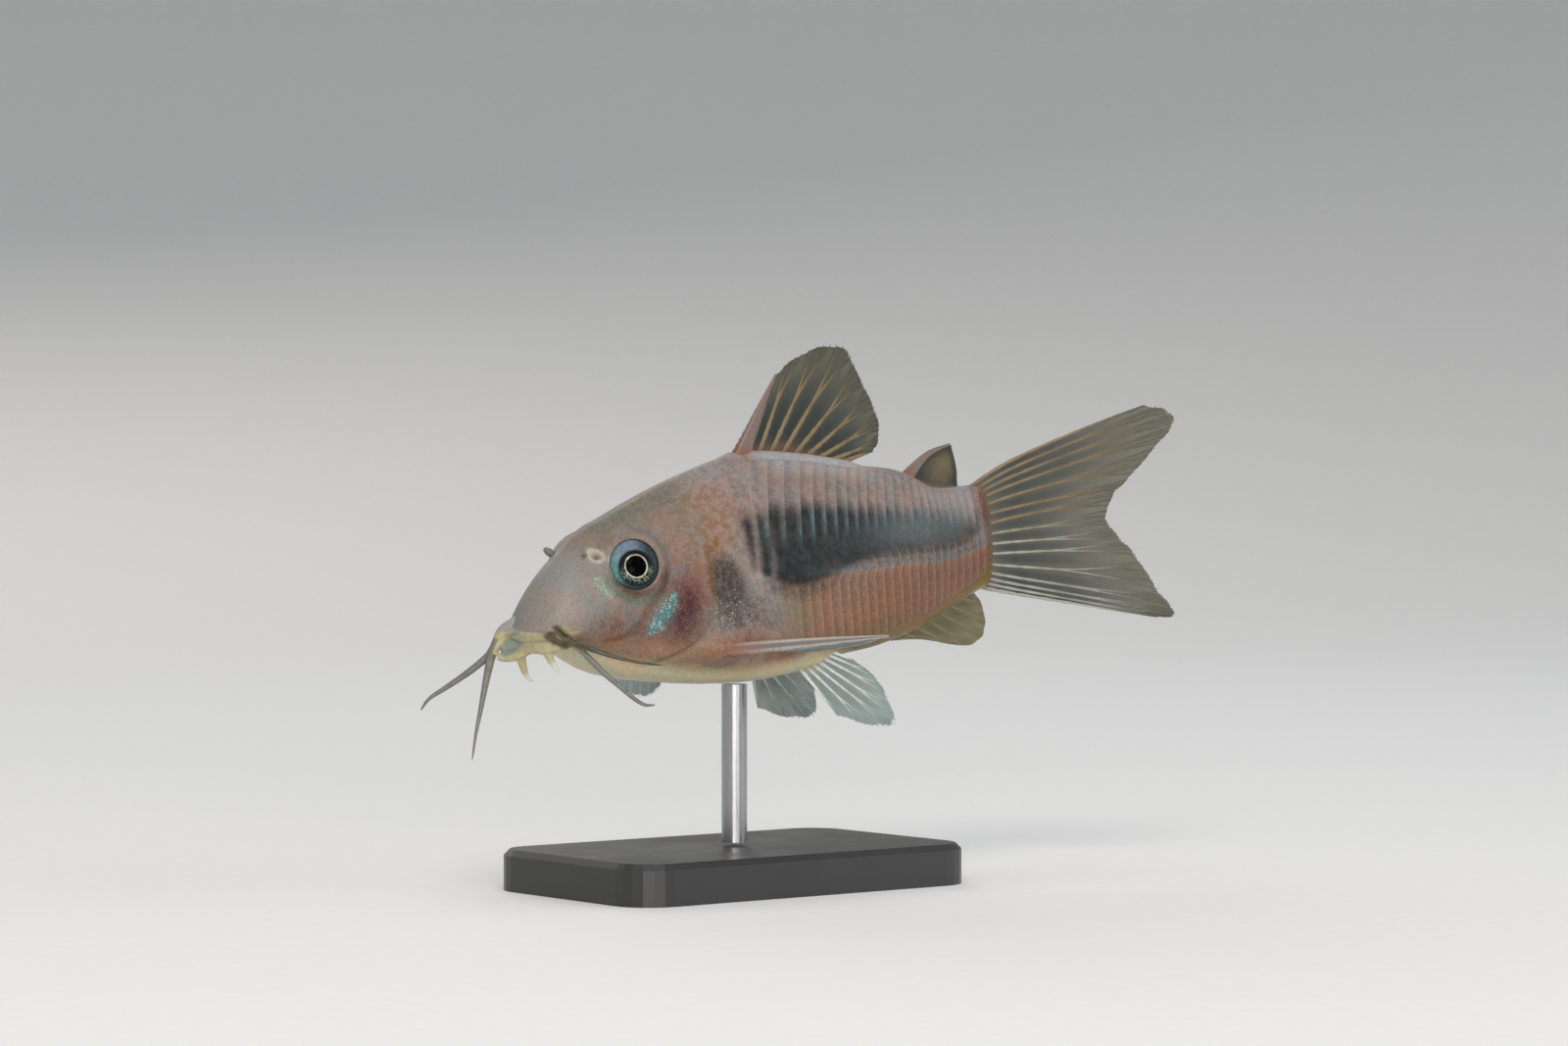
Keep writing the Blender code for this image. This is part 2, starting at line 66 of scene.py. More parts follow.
# Body stations: along, back, belly, half width, height of the widest point. The last two carry the
# flesh a little way over the root of the tail fin.
BODY_STATIONS = (
    (0.0, -4.0, -4.2, 0.0, -4.1),
    (0.35, -3.0, -4.5, 2.2, -4.0),
    (1.2, -1.3, -4.7, 3.2, -3.8),
    (3.0, 1.0, -5.0, 3.9, -3.7),
    (4.6, 2.3, -6.3, 4.2, -3.6),
    (7.0, 3.8, -7.8, 4.7, -3.5),
    (10.0, 5.0, -8.8, 5.3, -3.6),
    (14.0, 6.3, -9.7, 6.1, -4.2),
    (18.0, 7.4, -10.3, 6.8, -4.8),
    (23.8, 8.5, -10.6, 6.8, -4.4),
    (30.0, 7.8, -9.7, 5.8, -3.6),
    (36.0, 6.4, -9.4, 4.5, -2.8),
    (41.5, 5.1, -8.5, 3.4, -2.2),
    (44.5, 3.6, -7.7, 2.7, -2.0),
    (49.0, 3.1, -6.6, 1.8, -1.7),
    (50.5, 3.0, -6.3, 1.35, -1.6),
    (51.4, 2.85, -6.05, 0.85, -1.6),
    (52.1, 2.2, -5.3, 0.42, -1.6),
    (52.5, 0.8, -3.9, 0.15, -1.6),
)
BODY_END = BODY_STATIONS[-1][0]
ROOF_SQUARENESS = 1.8
SNOUT_FLOOR_SQUARENESS = 2.0
BELLY_FLOOR_SQUARENESS = 3.4
TAIL_FLOOR_SQUARENESS = 2.2
BELLY_FLOOR_STARTS = (3.0, 15.0)
TAIL_FLOOR_STARTS = (28.0, 44.0)

# Swimming curve: plan headings in degrees and the stretches where one turns into the next
HEAD_HEADING = 5.0
BENDS = (((8.0, 26.0), -6.0), ((32.0, 46.0), 9.0), ((51.0, 58.0), -18.0))
NOSE_DOWN = 6.0
ROD_ALONG = 22.0
ROD_GAP = 0.3

# Eye: its place and, for each side, how far its axis leans forward and upward in degrees
EYE_PLACE = (9.13, 3.85, 0.86)
EYE_TILTS = {-1.0: (22.0, 15.0), 1.0: (14.0, 25.0)}

# Camera: the aim is a point beside the fish, in millimetres, so that the framing needs no shift
CAMERA_AIM = (3.0, -3.06, 31.06)
CAMERA_AZIMUTH = -38.0
CAMERA_ELEVATION = 1.0
CAMERA_DISTANCE = 390.0
CAMERA_LENS = 105.0


def linear(hex_colour):
    """An sRGB hex colour as linear red, green, blue and full alpha."""
    values = [int(hex_colour[k:k + 2], 16) / 255 for k in (1, 3, 5)]
    values = [v / 12.92 if v <= 0.04045 else ((v + 0.055) / 1.055) ** 2.4 for v in values]
    return (*values, 1.0)


def colour(name, hex_colour, description):
    """A colour setting with an sRGB hex default."""
    return FloatVectorProperty(name=name, description=description, subtype="COLOR", size=4,
                               min=0.0, max=1.0, default=linear(hex_colour))


def size(name, default, description):
    """A size setting in millimetres."""
    return FloatProperty(name=name, description=description, default=default, min=0.0,
                         subtype="NONE", unit="NONE")


# Smooth steps, bumps and curves

def ease(value):
    value = np.clip(value, 0.0, 1.0)
    return value * value * (3.0 - 2.0 * value)


def between(value, start, end):
    """0 before the start, 1 after the end and a soft rise between them."""
    return ease((np.asarray(value, float) - start) / (end - start))


def bump(value, centre, width):
    return np.exp(-(((np.asarray(value, float) - centre) / width) ** 2))


def through(where, knots, values):
    """A smooth curve through values given at the knots, read at many places."""
    where = np.asarray(where, float)
    knots = np.asarray(knots, float)
    values = np.asarray(values, float)
    slopes = np.gradient(values, knots, axis=0)
    span = np.clip(np.searchsorted(knots, where) - 1, 0, len(knots) - 2)
    width = knots[span + 1] - knots[span]
    t = (where - knots[span]) / width
    if values.ndim > 1:
        t = t[..., None]
        width = width[..., None]
    start = values[span] * (1 + 2 * t) * (1 - t) ** 2 + slopes[span] * width * t * (1 - t) ** 2
    end = values[span + 1] * t * t * (3 - 2 * t) - slopes[span + 1] * width * t * t * (1 - t)
    return start + end


def curve_points(points, shares):
    """Points at shares, 0 to 1, of a smooth curve through a few points."""
    return through(shares, np.linspace(0.0, 1.0, len(points)), points)


# The swimming pose

def heading(along):
    turn = np.full(np.shape(along), HEAD_HEADING)
    for (start, end), target in BENDS:
        turn = turn + (target - turn) * between(along, start, end)
    return np.radians(turn)


def axis_directions(along):
    """Tailward, rightward and upward unit vectors of the body at many places."""
    turn = heading(along)
    tilt = math.radians(NOSE_DOWN)
    zero = np.zeros_like(turn)
    tailward = np.stack([np.cos(turn) * math.cos(tilt), np.sin(turn) * math.cos(tilt),
                         zero + math.sin(tilt)], -1)
    rightward = np.stack([-np.sin(turn), np.cos(turn), zero], -1)
    return tailward, rightward, np.cross(tailward, rightward)


AXIS_STEP = 0.5
AXIS_PLACES = np.arange(-15.0, 85.0, AXIS_STEP)
AXIS_POINTS = np.concatenate([
    np.zeros((1, 3)),
    np.cumsum(axis_directions(AXIS_PLACES[:-1] + AXIS_STEP / 2)[0] * AXIS_STEP, axis=0),
])


def unplaced(points):
    """Straight points (along, across, height) bent along the swimming curve, in millimetres."""
    points = np.asarray(points, float)
    along = points[..., 0]
    centre = np.stack([np.interp(along, AXIS_PLACES, AXIS_POINTS[:, k]) for k in range(3)], -1)
    _, rightward, upward = axis_directions(along)
    return centre + rightward * points[..., 1:2] + upward * points[..., 2:3]


STATIONS = np.array(BODY_STATIONS)
STATION_ROOTS = np.sqrt(STATIONS[:, 0])
BELLY_AT_ROD = float(through([math.sqrt(ROD_ALONG)], STATION_ROOTS, STATIONS[:, 2])[0])
ROD_TOP = Vector((0.0, 0.0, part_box("stand_rod")[1].z / MM + ROD_GAP))
SHIFT = np.array(ROD_TOP) - unplaced((ROD_ALONG, 0.0, BELLY_AT_ROD))


def pose(points):
    """Straight points in their final place, in metres."""
    return (unplaced(points) + SHIFT) * MM


# The body's surface, read from a table of sections

def floor_squareness(along):
    square = SNOUT_FLOOR_SQUARENESS
    square += (BELLY_FLOOR_SQUARENESS - square) * between(along, *BELLY_FLOOR_STARTS)
    square += (TAIL_FLOOR_SQUARENESS - square) * between(along, *TAIL_FLOOR_STARTS)
    return square


def section_table(roots, shares):
    """Half width and height of the surface for square roots of along and shares of the side."""
    turn = np.linspace(math.pi / 2, 0.0, 60)
    roof = 2.0 / ROOF_SQUARENESS
    table = np.zeros((len(roots), len(shares), 2))
    for k, root in enumerate(roots):
        back, belly, half_width, waist = through(root, STATION_ROOTS, STATIONS[:, 1:])
        floor = 2.0 / floor_squareness(root * root)
        across = np.concatenate([half_width * np.cos(turn) ** roof,
                                 half_width * np.cos(turn[-2::-1]) ** floor])
        height = np.concatenate([waist + (back - waist) * np.sin(turn) ** roof,
                                 waist + (belly - waist) * np.sin(turn[-2::-1]) ** floor])
        walked = np.concatenate([[0.0], np.cumsum(np.hypot(np.diff(across), np.diff(height)))])
        table[k, :, 0] = np.interp(shares * walked[-1], walked, across)
        table[k, :, 1] = np.interp(shares * walked[-1], walked, height)
    return table


TABLE_ROOTS = np.linspace(0.0, math.sqrt(BODY_END), 620)
TABLE_SHARES = np.linspace(0.0, 1.0, 241)
SECTIONS = section_table(TABLE_ROOTS, TABLE_SHARES)


def flank(root, share, side):
    """Straight points of the plain surface; a share under 0 or over 1 runs on to the other side."""
    root, share, side = np.broadcast_arrays(*(np.asarray(v, float) for v in (root, share, side)))
    over = (share < 0) | (share > 1)
    inner = np.where(share < 0, -share, np.where(share > 1, 2 - share, share))
    i = np.clip(root / TABLE_ROOTS[1], 0, len(TABLE_ROOTS) - 1.001)
    j = np.clip(inner / TABLE_SHARES[1], 0, len(TABLE_SHARES) - 1.001)
    i0 = i.astype(int)
    j0 = j.astype(int)
    di = (i - i0)[..., None]
    dj = (j - j0)[..., None]
    found = (SECTIONS[i0, j0] * (1 - di) * (1 - dj) + SECTIONS[i0 + 1, j0] * di * (1 - dj)
             + SECTIONS[i0, j0 + 1] * (1 - di) * dj + SECTIONS[i0 + 1, j0 + 1] * di * dj)
    across = found[..., 0] * side * np.where(over, -1.0, 1.0)
    return np.stack([root * root, across, found[..., 1]], -1)


def flank_normal(root, share, side):
    """Outward unit vectors of the plain surface, in straight directions."""
    step_root = 0.02
    step_share = 0.012
    low_root = np.clip(root - step_root, 0.005, None)
    high_root = np.clip(root + step_root, None, TABLE_ROOTS[-1])
    lengthwise = flank(high_root, share, side) - flank(low_root, share, side)
    downwards = flank(root, share + step_share, side) - flank(root, share - step_share, side)
    normal = np.cross(lengthwise, downwards) * np.asarray(side, float)[..., None]
    return normal / np.linalg.norm(normal, axis=-1, keepdims=True)


def share_at(along, height):
    """The share of the side where the surface has the given height."""
    root = np.sqrt(np.asarray(along, float))
    low = np.zeros(np.shape(root))
    high = np.ones(np.shape(root))
    for _ in range(18):
        middle = (low + high) / 2
        above = flank(root, middle, 1.0)[..., 2] > height
        low = np.where(above, middle, low)
        high = np.where(above, high, middle)
    return (low + high) / 2


# Lines and patches on the flank, all in (along, height)

SEAM_LINE = ((16.0, 1.6), (20.0, 0.2), (23.0, -1.2), (27.0, -1.8), (31.0, -2.0), (38.0, -2.2),
             (42.6, -2.4), (48.4, -2.15), (52.5, -1.6))
BAND_TOP = ((19.5, 3.6), (23.0, 3.9), (25.7, 4.0), (28.8, 3.8), (32.0, 3.3), (36.2, 2.6), (40.6, 1.8),
            (46.2, 0.5), (52.0, 0.2))
BAND_BOTTOM = ((19.0, 0.2), (21.0, -0.9), (22.7, -1.9), (24.9, -2.7), (27.5, -2.6), (30.4, -2.0),
               (35.1, -1.3), (39.6, -1.35), (45.6, -1.4), (50.0, -0.9))
GILL_EDGE = ((17.4, 3.4), (17.0, 1.9), (16.4, 0.6), (16.1, -1.2), (15.9, -3.0), (15.1, -4.8),
             (13.2, -6.3), (10.6, -7.2), (8.6, -7.7))
GOLD_EDGE = ((16.9, 1.9), (16.4, 0.9), (16.15, -0.9), (15.9, -3.0))
GOLD_FORK = ((16.4, 0.9), (17.1, 1.4), (18.0, 2.3))
PALE_ARC = ((17.6, 2.2), (18.6, 1.3), (19.4, 0.0), (20.3, -1.8), (21.6, -3.6))
TEAL_LINE = ((12.4, -1.5), (11.5, -2.7), (10.3, -3.9), (9.0, -5.0))
STREAKS = (((11.3, -0.6), (9.8, -1.6), (8.0, -2.4), (6.6, -3.2)), ((8.9, -3.1), (7.6, -3.9), (6.6, -4.5)),
           ((14.1, 0.4), (12.9, 0.1), (11.8, -0.8)))
CREASE = ((11.7, -0.9), (10.4, -2.1), (9.3, -3.0), (8.2, -4.0), (6.7, -4.8), (4.6, -5.0))
GLINT_LINE = ((5.6, 0.5), (5.75, -0.4), (6.5, -1.4))
MOUTH_GROOVE = ((0.95, -2.95), (1.4, -3.75), (1.9, -4.35), (2.6, -5.0))
MOUTH_EDGE = ((1.45, -3.05), (1.95, -3.75), (2.4, -4.35), (3.1, -5.0))
NOSTRIL = (6.35, 1.95)
EYE_SPOT = (9.4, 0.95)
RIM_SPOT = (8.8, 1.1)


def line_distance(along, height, knots, pieces=36):
    """Distance to a smooth line, which side of it a point lies on, and how far along it, 0 to 1."""
    line = curve_points(np.array(knots, float), np.linspace(0.0, 1.0, pieces + 1))
    best = np.full(np.shape(along), 1e9)
    sign = np.ones(np.shape(along))
    progress = np.zeros(np.shape(along))
    for k in range(pieces):
        start = line[k]
        run = line[k + 1] - start
        x = along - start[0]
        y = height - start[1]
        t = np.clip((x * run[0] + y * run[1]) / (run @ run), 0.0, 1.0)
        gap = np.hypot(x - t * run[0], y - t * run[1])
        closer = gap < best
        best = np.where(closer, gap, best)
        sign = np.where(closer, np.sign(run[0] * y - run[1] * x), sign)
        progress = np.where(closer, (k + t) / pieces, progress)
    return best, sign, progress


def stroke(along, height, knots, width):
    """1 on a line and 0 away from it, with soft edges and soft ends."""
    gap, _, progress = line_distance(along, height, knots)
    return bump(gap, 0.0, width) * between(progress, 0.0, 0.12) * (1 - between(progress, 0.88, 1.0))


def tapered(along, height, knots, width):
    """A stroke that thins out towards both ends."""
    gap, _, progress = line_distance(along, height, knots)
    narrow = 0.35 + 0.65 * between(progress, 0.0, 0.3) * (1 - between(progress, 0.7, 1.0))
    return bump(gap, 0.0, width * narrow) * between(progress, 0.0, 0.1) * (1 - between(progress, 0.9, 1.0))


def patch(along, height, centre, radii, turn=0.0, soft=0.35):
    """1 inside an ellipse and 0 outside it, with a soft edge; turn is in degrees."""
    angle = math.radians(turn)
    x = (along - centre[0]) * math.cos(angle) + (height - centre[1]) * math.sin(angle)
    y = (height - centre[1]) * math.cos(angle) - (along - centre[0]) * math.sin(angle)
    reach = np.hypot(x / radii[0], y / radii[1])
    return 1 - between(reach, 1 - soft, 1 + soft)


def read_line(along, knots):
    knots = np.array(knots)
    return through(np.clip(along, knots[0, 0], knots[-1, 0]), knots[:, 0], knots[:, 1])


def band_mark(a, h):
    """How strongly the dark band of the flank shows at (along, height), 0 to 1."""
    top = read_line(a, BAND_TOP)
    bottom = read_line(a, BAND_BOTTOM)
    # Near its front the band is broken by paler lines where the plate rims show: partly paler rims, partly painted
    # highlight
    stripes = (0.5 + 0.5 * np.cos((a - 0.2 * h - 21.5) * 3.6)) ** 2 * (1 - between(a, 22.4, 24.0))
    band = between(top - h, -0.9, 1.0) * between(h - bottom, -0.35, 0.4) * between(a, 19.8, 21.4)
    band = band * (1 - 0.7 * stripes)
    return band * (1 - 0.2 * between(a, 32.0, 41.0)) * (1 - between(a, 47.0, 51.3))


def markings(points, share):
    """How strongly each marking shows at straight points of the body, by name, 0 to 1."""
    a = points[..., 0]
    h = points[..., 2]
    s = share
    seam = read_line(a, SEAM_LINE)
    bottom = read_line(a, BAND_BOTTOM)
    band = band_mark(a, h)
    eye = np.hypot(a - EYE_SPOT[0], h - EYE_SPOT[1])
    under_eye = between(EYE_SPOT[1] - h, 0.1, 1.4)
    behind_head = between(a, 14.0, 19.0)
    marks = {
        "head": 1 - behind_head,
        "snout": (1 - between(a, 2.5, 9.0)) * (1 - between(s, 0.45, 0.65)),
        "crown": between(a, 4.0, 9.0) * (1 - between(a, 15.0, 19.0)) * (1 - between(s, 0.07, 0.2)),
        "nape": bump(a, 17.8, 3.0) * between(s, 0.07, 0.15) * (1 - between(s, 0.33, 0.42)),
        "salmon": between(seam - h, -0.1, 0.7) * between(a, 21.5, 26.0),
        "salmon_tail": between(seam - h, 0.1, 1.2) * between(a, 27.0, 40.0),
        "cheek": between(a, 2.6, 6.0) * (1 - between(a, 12.5, 16.5)) * bump(s, 0.62, 0.11),
        "cream": between(s, 0.72 + 0.17 * between(a, 26.0, 36.0), 0.81 + 0.18 * between(a, 26.0, 36.0)),
        "yellow": bump(s, 0.83 + 0.08 * between(a, 30.0, 42.0), 0.09) * between(a, 25.0, 32.0) + 0.5 * bump(s, 0.77, 0.05)
        * (1 - between(a, 24.0, 30.0)) * between(a, 5.0, 12.0),
        "band": band,
        "under_band": between(bottom - h, -0.4, 0.1) * (1 - between(bottom - h, 0.5, 1.7))
        * between(a, 21.0, 23.5) * (1 - between(a, 27.5, 32.0)),
        # Painted sheen: a blue-grey highlight on the upper rear part of the band
        "sheen": bump(h, bottom + 1.9, 1.3) * between(a, 30.0, 41.0) * (1 - between(a, 45.5, 48.5)),
        "join": between(a, 50.5, 51.6),
        "tail_threads": between(a, 50.8, 51.8) * (0.5 + 0.5 * np.cos((h + 1.6) / (a - 36.0) * 150.0)) ** 2,
        "seam": bump(h, seam + 0.05, 0.3) * between(a, 26.0, 30.0) * (1 - between(a, 49.0, 52.0)),
        # Painted shadow just above the seam between the plate rows
        "seam_shadow": bump(h, seam + 0.75, 0.42) * between(a, 29.0, 35.0) * (1 - between(a, 46.0, 50.0)),
        "gill_shade": patch(a, h, (17.8, -1.5), (1.9, 2.3)),
        "speckle": patch(a, h, (18.0, -4.0), (2.4, 1.5), soft=0.6)
        + 0.5 * patch(a, h, (20.6, -4.2), (2.2, 1.6), soft=0.8),
        "gold": np.maximum(stroke(a, h, GOLD_EDGE, 0.34), stroke(a, h, GOLD_FORK, 0.3)),
        "pale_arc": stroke(a, h, PALE_ARC, 0.35),
        "maroon": patch(a, h, (13.1, -3.1), (1.5, 2.4), turn=-28.0, soft=0.85),
        "greenish": patch(a, h, (24.6, -5.3), (2.2, 2.2), soft=0.8),
        "teal": tapered(a, h, TEAL_LINE, 0.66),
        "crescent": bump(eye, 2.5, 0.55) * under_eye,
        "glow": bump(eye, 3.15, 0.3) * under_eye * (1 - between(a, 9.5, 12.0)),
        "glint": stroke(a, h, GLINT_LINE, 0.45),
        "streak": np.clip(sum(tapered(a, h, knots, 0.3) for knots in STREAKS), 0, 1),
        "crease": stroke(a, h, CREASE, 0.3),
        "peach": bump(s, 0.69, 0.06) * between(a, 2.2, 4.0) * (1 - between(a, 20.0, 25.0)),
        "cover_flush": patch(a, h, (13.4, -1.8), (2.6, 3.2), turn=-20.0, soft=0.6),
        "shoulder": patch(a, h, (17.8, -6.5), (3.0, 0.8), turn=8.0, soft=0.6),
        "flush": patch(a, h, (23.2, -8.3), (2.2, 0.55), soft=0.7),
        "tail_flush": patch(a, h, (50.6, 0.9), (1.0, 1.9), soft=1.0),
        "tail_yellow": patch(a, h, (51.0, -5.2), (2.2, 1.0), soft=0.6),
        # Painted highlight along the top of the back, under the dorsal fin and before the tail
        "back_light": between(a, 24.0, 27.0) * (1 - between(a, 34.0, 40.0)) * (1 - between(s, 0.06, 0.17))
        + 0.45 * between(a, 40.0, 43.0) * (1 - between(a, 49.0, 51.0)) * (1 - between(s, 0.15, 0.3)),
        "back_shade": bump(a, 30.5, 7.0) * bump(s, 0.2, 0.13),
        "lip": (1 - between(a, 2.2, 3.4)) * between(-h, 3.6, 3.8),
        "lip_line": bump(h, -3.42 - 0.2 * between(a, 0.3, 1.2), 0.16) * (1 - between(a, 0.9, 1.5)),
        "mouth_edge": stroke(a, h, MOUTH_EDGE, 0.26),
        # Painted shade in the groove at the mouth's corner
        "groove_shade": stroke(a, h, MOUTH_GROOVE, 0.24),
        "nostril": bump(np.hypot(a - NOSTRIL[0], h - NOSTRIL[1]), 0.42, 0.2),
        # Painted shade in the nostril's pit
        "pit_shade": bump(np.hypot(a - NOSTRIL[0], h - NOSTRIL[1]), 0.0, 0.17),
    }
    return {name: np.clip(value, 0.0, 1.0) for name, value in marks.items()}


def relief(points, share):
    """How far the skin stands out of the plain surface, in millimetres."""
    a = points[..., 0]
    h = points[..., 2]
    s = share
    gap, sign, progress = line_distance(a, h, GILL_EDGE)
    behind = gap * sign
    edge = between(progress, 0.0, 0.12) * (1 - between(progress, 0.9, 1.0))
    cover = 0.14 * bump(behind, 0.0, 1.3) * (1 - between(behind, -0.06, 0.07))
    slot = -0.11 * bump(behind, 0.16, 0.3)
    rise = (cover + slot) * edge
    plate_zone = between(a, 20.0, 22.0) * (1 - between(a, 51.0, 52.5))
    rise -= 0.1 * plate_zone * between(s, 0.02, 0.06) * (1 - between(s, 0.8, 0.86))
    rise += 0.3 * between(a, 24.6, 25.6) * (1 - between(a, 35.0, 37.0)) * (1 - between(s, 0.01, 0.05))
    rise += 0.3 * bump(a, 23.6, 0.9) * (1 - between(s, 0.01, 0.04))
    rise -= 0.1 * bump(a, 12.0, 3.0) * (1 - between(s, 0.0, 0.035))
    eye = np.hypot(a - RIM_SPOT[0], h - RIM_SPOT[1])
    rise -= 0.16 * bump(eye, 2.75, 0.35) * between(RIM_SPOT[1] - h, 0.2, 1.6)
    rise += 0.14 * bump(eye, 3.0, 0.5) * between(h - RIM_SPOT[1], 0.5, 2.0)
    rise -= 0.1 * stroke(a, h, CREASE, 0.25)
    rise += 0.12 * stroke(a, h, TEAL_LINE, 0.8)
    rise -= 0.12 * patch(a, h, (17.6, -1.3), (1.5, 2.0), soft=0.5)
    nostril = np.hypot(a - NOSTRIL[0], h - NOSTRIL[1])
    rise += 0.13 * bump(nostril, 0.5, 0.16) - 0.4 * bump(nostril, 0.0, 0.26)
    rise -= 0.32 * stroke(a, h, MOUTH_GROOVE, 0.2)
    rise += 0.12 * stroke(a, h, MOUTH_EDGE, 0.3)
    rise -= 0.15 * bump(h, -3.62, 0.12) * (1 - between(a, 0.9, 1.6))
    rise += 0.85 * patch(a, h, (16.6, -6.85), (1.7, 1.0), soft=0.95)
    rise += 0.3 * patch(a, h, (27.9, -9.8), (2.4, 1.0), soft=0.9)
    return rise


# Pieces

class Shape:
    """Points, faces and values of one piece, gathered part by part."""

    def __init__(self):
        self.points = []
        self.faces = []
        self.values = {}
        self.corner_maps = []
        self.count = 0

    def add(self, points, faces, corner_map=None, **values):
        points = np.asarray(points, float).reshape(-1, 3)
        for block in faces:
            self.faces.extend((np.asarray(block) + self.count).tolist())
        for name, value in values.items():
            self.values.setdefault(name, []).append(np.asarray(value, float))
        if corner_map is not None:
            self.corner_maps.append(corner_map)
        self.points.append(points)
        self.count += len(points)

    def build(self, name, finish, slot, replaced=()):
        """A mesh object that rides on the model and stands for the replaced nodes."""
        mesh = bpy.data.meshes.new(name)
        mesh.from_pydata(np.concatenate(self.points).tolist(), [], self.faces)
        for key, parts in self.values.items():
            value = np.concatenate([p.reshape(-1, 3) if p.ndim > 1 else p for p in parts])
            kind = "FLOAT_VECTOR" if value.ndim > 1 else "FLOAT"
            layer = mesh.attributes.new(key, kind, "POINT")
            layer.data.foreach_set("vector" if value.ndim > 1 else "value",
                                   value.astype(np.float32).ravel())
        if self.corner_maps:
            corners = np.concatenate([m.reshape(-1, 2) for m in self.corner_maps])
            layer = mesh.uv_layers.new(name="OFBake")
            layer.data.foreach_set("uv", corners.astype(np.float32).ravel())
        turned_out = bmesh.new()
        turned_out.from_mesh(mesh)
        bmesh.ops.recalc_face_normals(turned_out, faces=turned_out.faces)
        turned_out.to_mesh(mesh)
        turned_out.free()
        mesh.materials.append(finish)
        mesh.shade_smooth()
        piece = bpy.data.objects.new(name, mesh)
        bpy.context.scene.collection.objects.link(piece)
        if replaced:
            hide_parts(*replaced)
        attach(piece, "root")
        return piece


def grid_faces(rows, columns, wrapped=False):
    """Quads over a grid of points, rows by columns, wrapped round the columns if asked."""
    across = columns if wrapped else columns - 1
    i = np.arange(rows - 1)[:, None]
    j = np.arange(across)[None, :]
    after = (j + 1) % columns
    return np.stack([i * columns + j, i * columns + after, (i + 1) * columns + after,
                     (i + 1) * columns + j], -1).reshape(-1, 4)


def closed_sheet(upper, lower):
    """Points and faces of the solid between two grids of points of one shape."""
    rows, columns = upper.shape[:2]
    count = rows * columns
    points = np.concatenate([upper.reshape(-1, 3), lower.reshape(-1, 3)])
    top = grid_faces(rows, columns)
    index = np.arange(count).reshape(rows, columns)
    rim = np.concatenate([index[0, :], index[1:, -1], index[-1, -2::-1], index[-2:0:-1, 0]])
    after = np.roll(rim, -1)
    side = np.stack([rim, rim + count, after + count, after], -1)
    return points, [top, top[:, ::-1] + count, side]


def tube(path, radii, normal, flatness=1.0, sides=8):
    """Points and faces of a closed tapering tube along world points, in metres."""
    count = len(path)
    tangent = np.gradient(path, axis=0)
    tangent /= np.linalg.norm(tangent, axis=1, keepdims=True)
    first = np.cross(tangent, normal)
    first /= np.linalg.norm(first, axis=1, keepdims=True)
    second = np.cross(tangent, first)
    turn = np.linspace(0.0, 2 * math.pi, sides, endpoint=False)
    radii = np.asarray(radii, float)[:, None, None] * MM
    ring = first[:, None] * np.cos(turn)[None, :, None]
    ring = ring + second[:, None] * np.sin(turn)[None, :, None] * flatness
    points = (path[:, None] + ring * radii).reshape(-1, 3)
    points = np.concatenate([points, path[:1], path[-1:]])
    wall = grid_faces(count, sides, wrapped=True)
    k = np.arange(sides)
    after = (k + 1) % sides
    start_cap = np.stack([after, k, np.full(sides, count * sides)], -1)
    last = (count - 1) * sides
    end_cap = np.stack([last + k, last + after, np.full(sides, count * sides + 1)], -1)
    return points, [wall, start_cap, end_cap], turn


def eye_axes(side):
    """Centre, outward, sideways and upright directions of one eye, in straight millimetres."""
    forward, rise = (math.radians(angle) for angle in EYE_TILTS[side])
    centre = np.array([EYE_PLACE[0], side * EYE_PLACE[1], EYE_PLACE[2]])
    outward = np.array([-math.sin(forward) * math.cos(rise), side * math.cos(forward) * math.cos(rise),
                        math.sin(rise)])
    sideways = np.cross(np.array([0.0, 0.0, 1.0]), outward)
    sideways /= np.linalg.norm(sideways)
    return centre, outward, sideways, np.cross(outward, sideways)


# Skin

RING_SPLIT = 18.5


def ring_places(head_rings, body_rings):
    """Where the rings of the skin lie: close together on the head, wider behind it."""
    head = np.linspace(0.12, math.sqrt(RING_SPLIT), head_rings) ** 2
    body = np.linspace(RING_SPLIT, BODY_END, body_rings + 1)[1:]
    return np.concatenate([head, body])


def seat_eye(points, side):
    """Brings the skin round one eye to a flat rim and sinks it under the ball."""
    settings = bpy.context.scene.cory_eyes
    centre, outward, _, _ = eye_axes(side)
    offset = points - centre
    level = offset @ outward
    reach = np.linalg.norm(offset - level[..., None] * outward, axis=-1)
    facing = (offset[..., 1] * side > -2.0)
    rim = settings.rim_radius
    target = 0.72 + 0.1 * bump(reach, rim + 0.25, 0.2)
    target = np.where(reach < rim, 0.72 - 1.5 * between(rim - reach, 0.0, 0.3), target)
    weight = (1 - between(reach, rim + 0.15, rim + 1.5)) * facing
    return points + ((target - level) * weight)[..., None] * outward


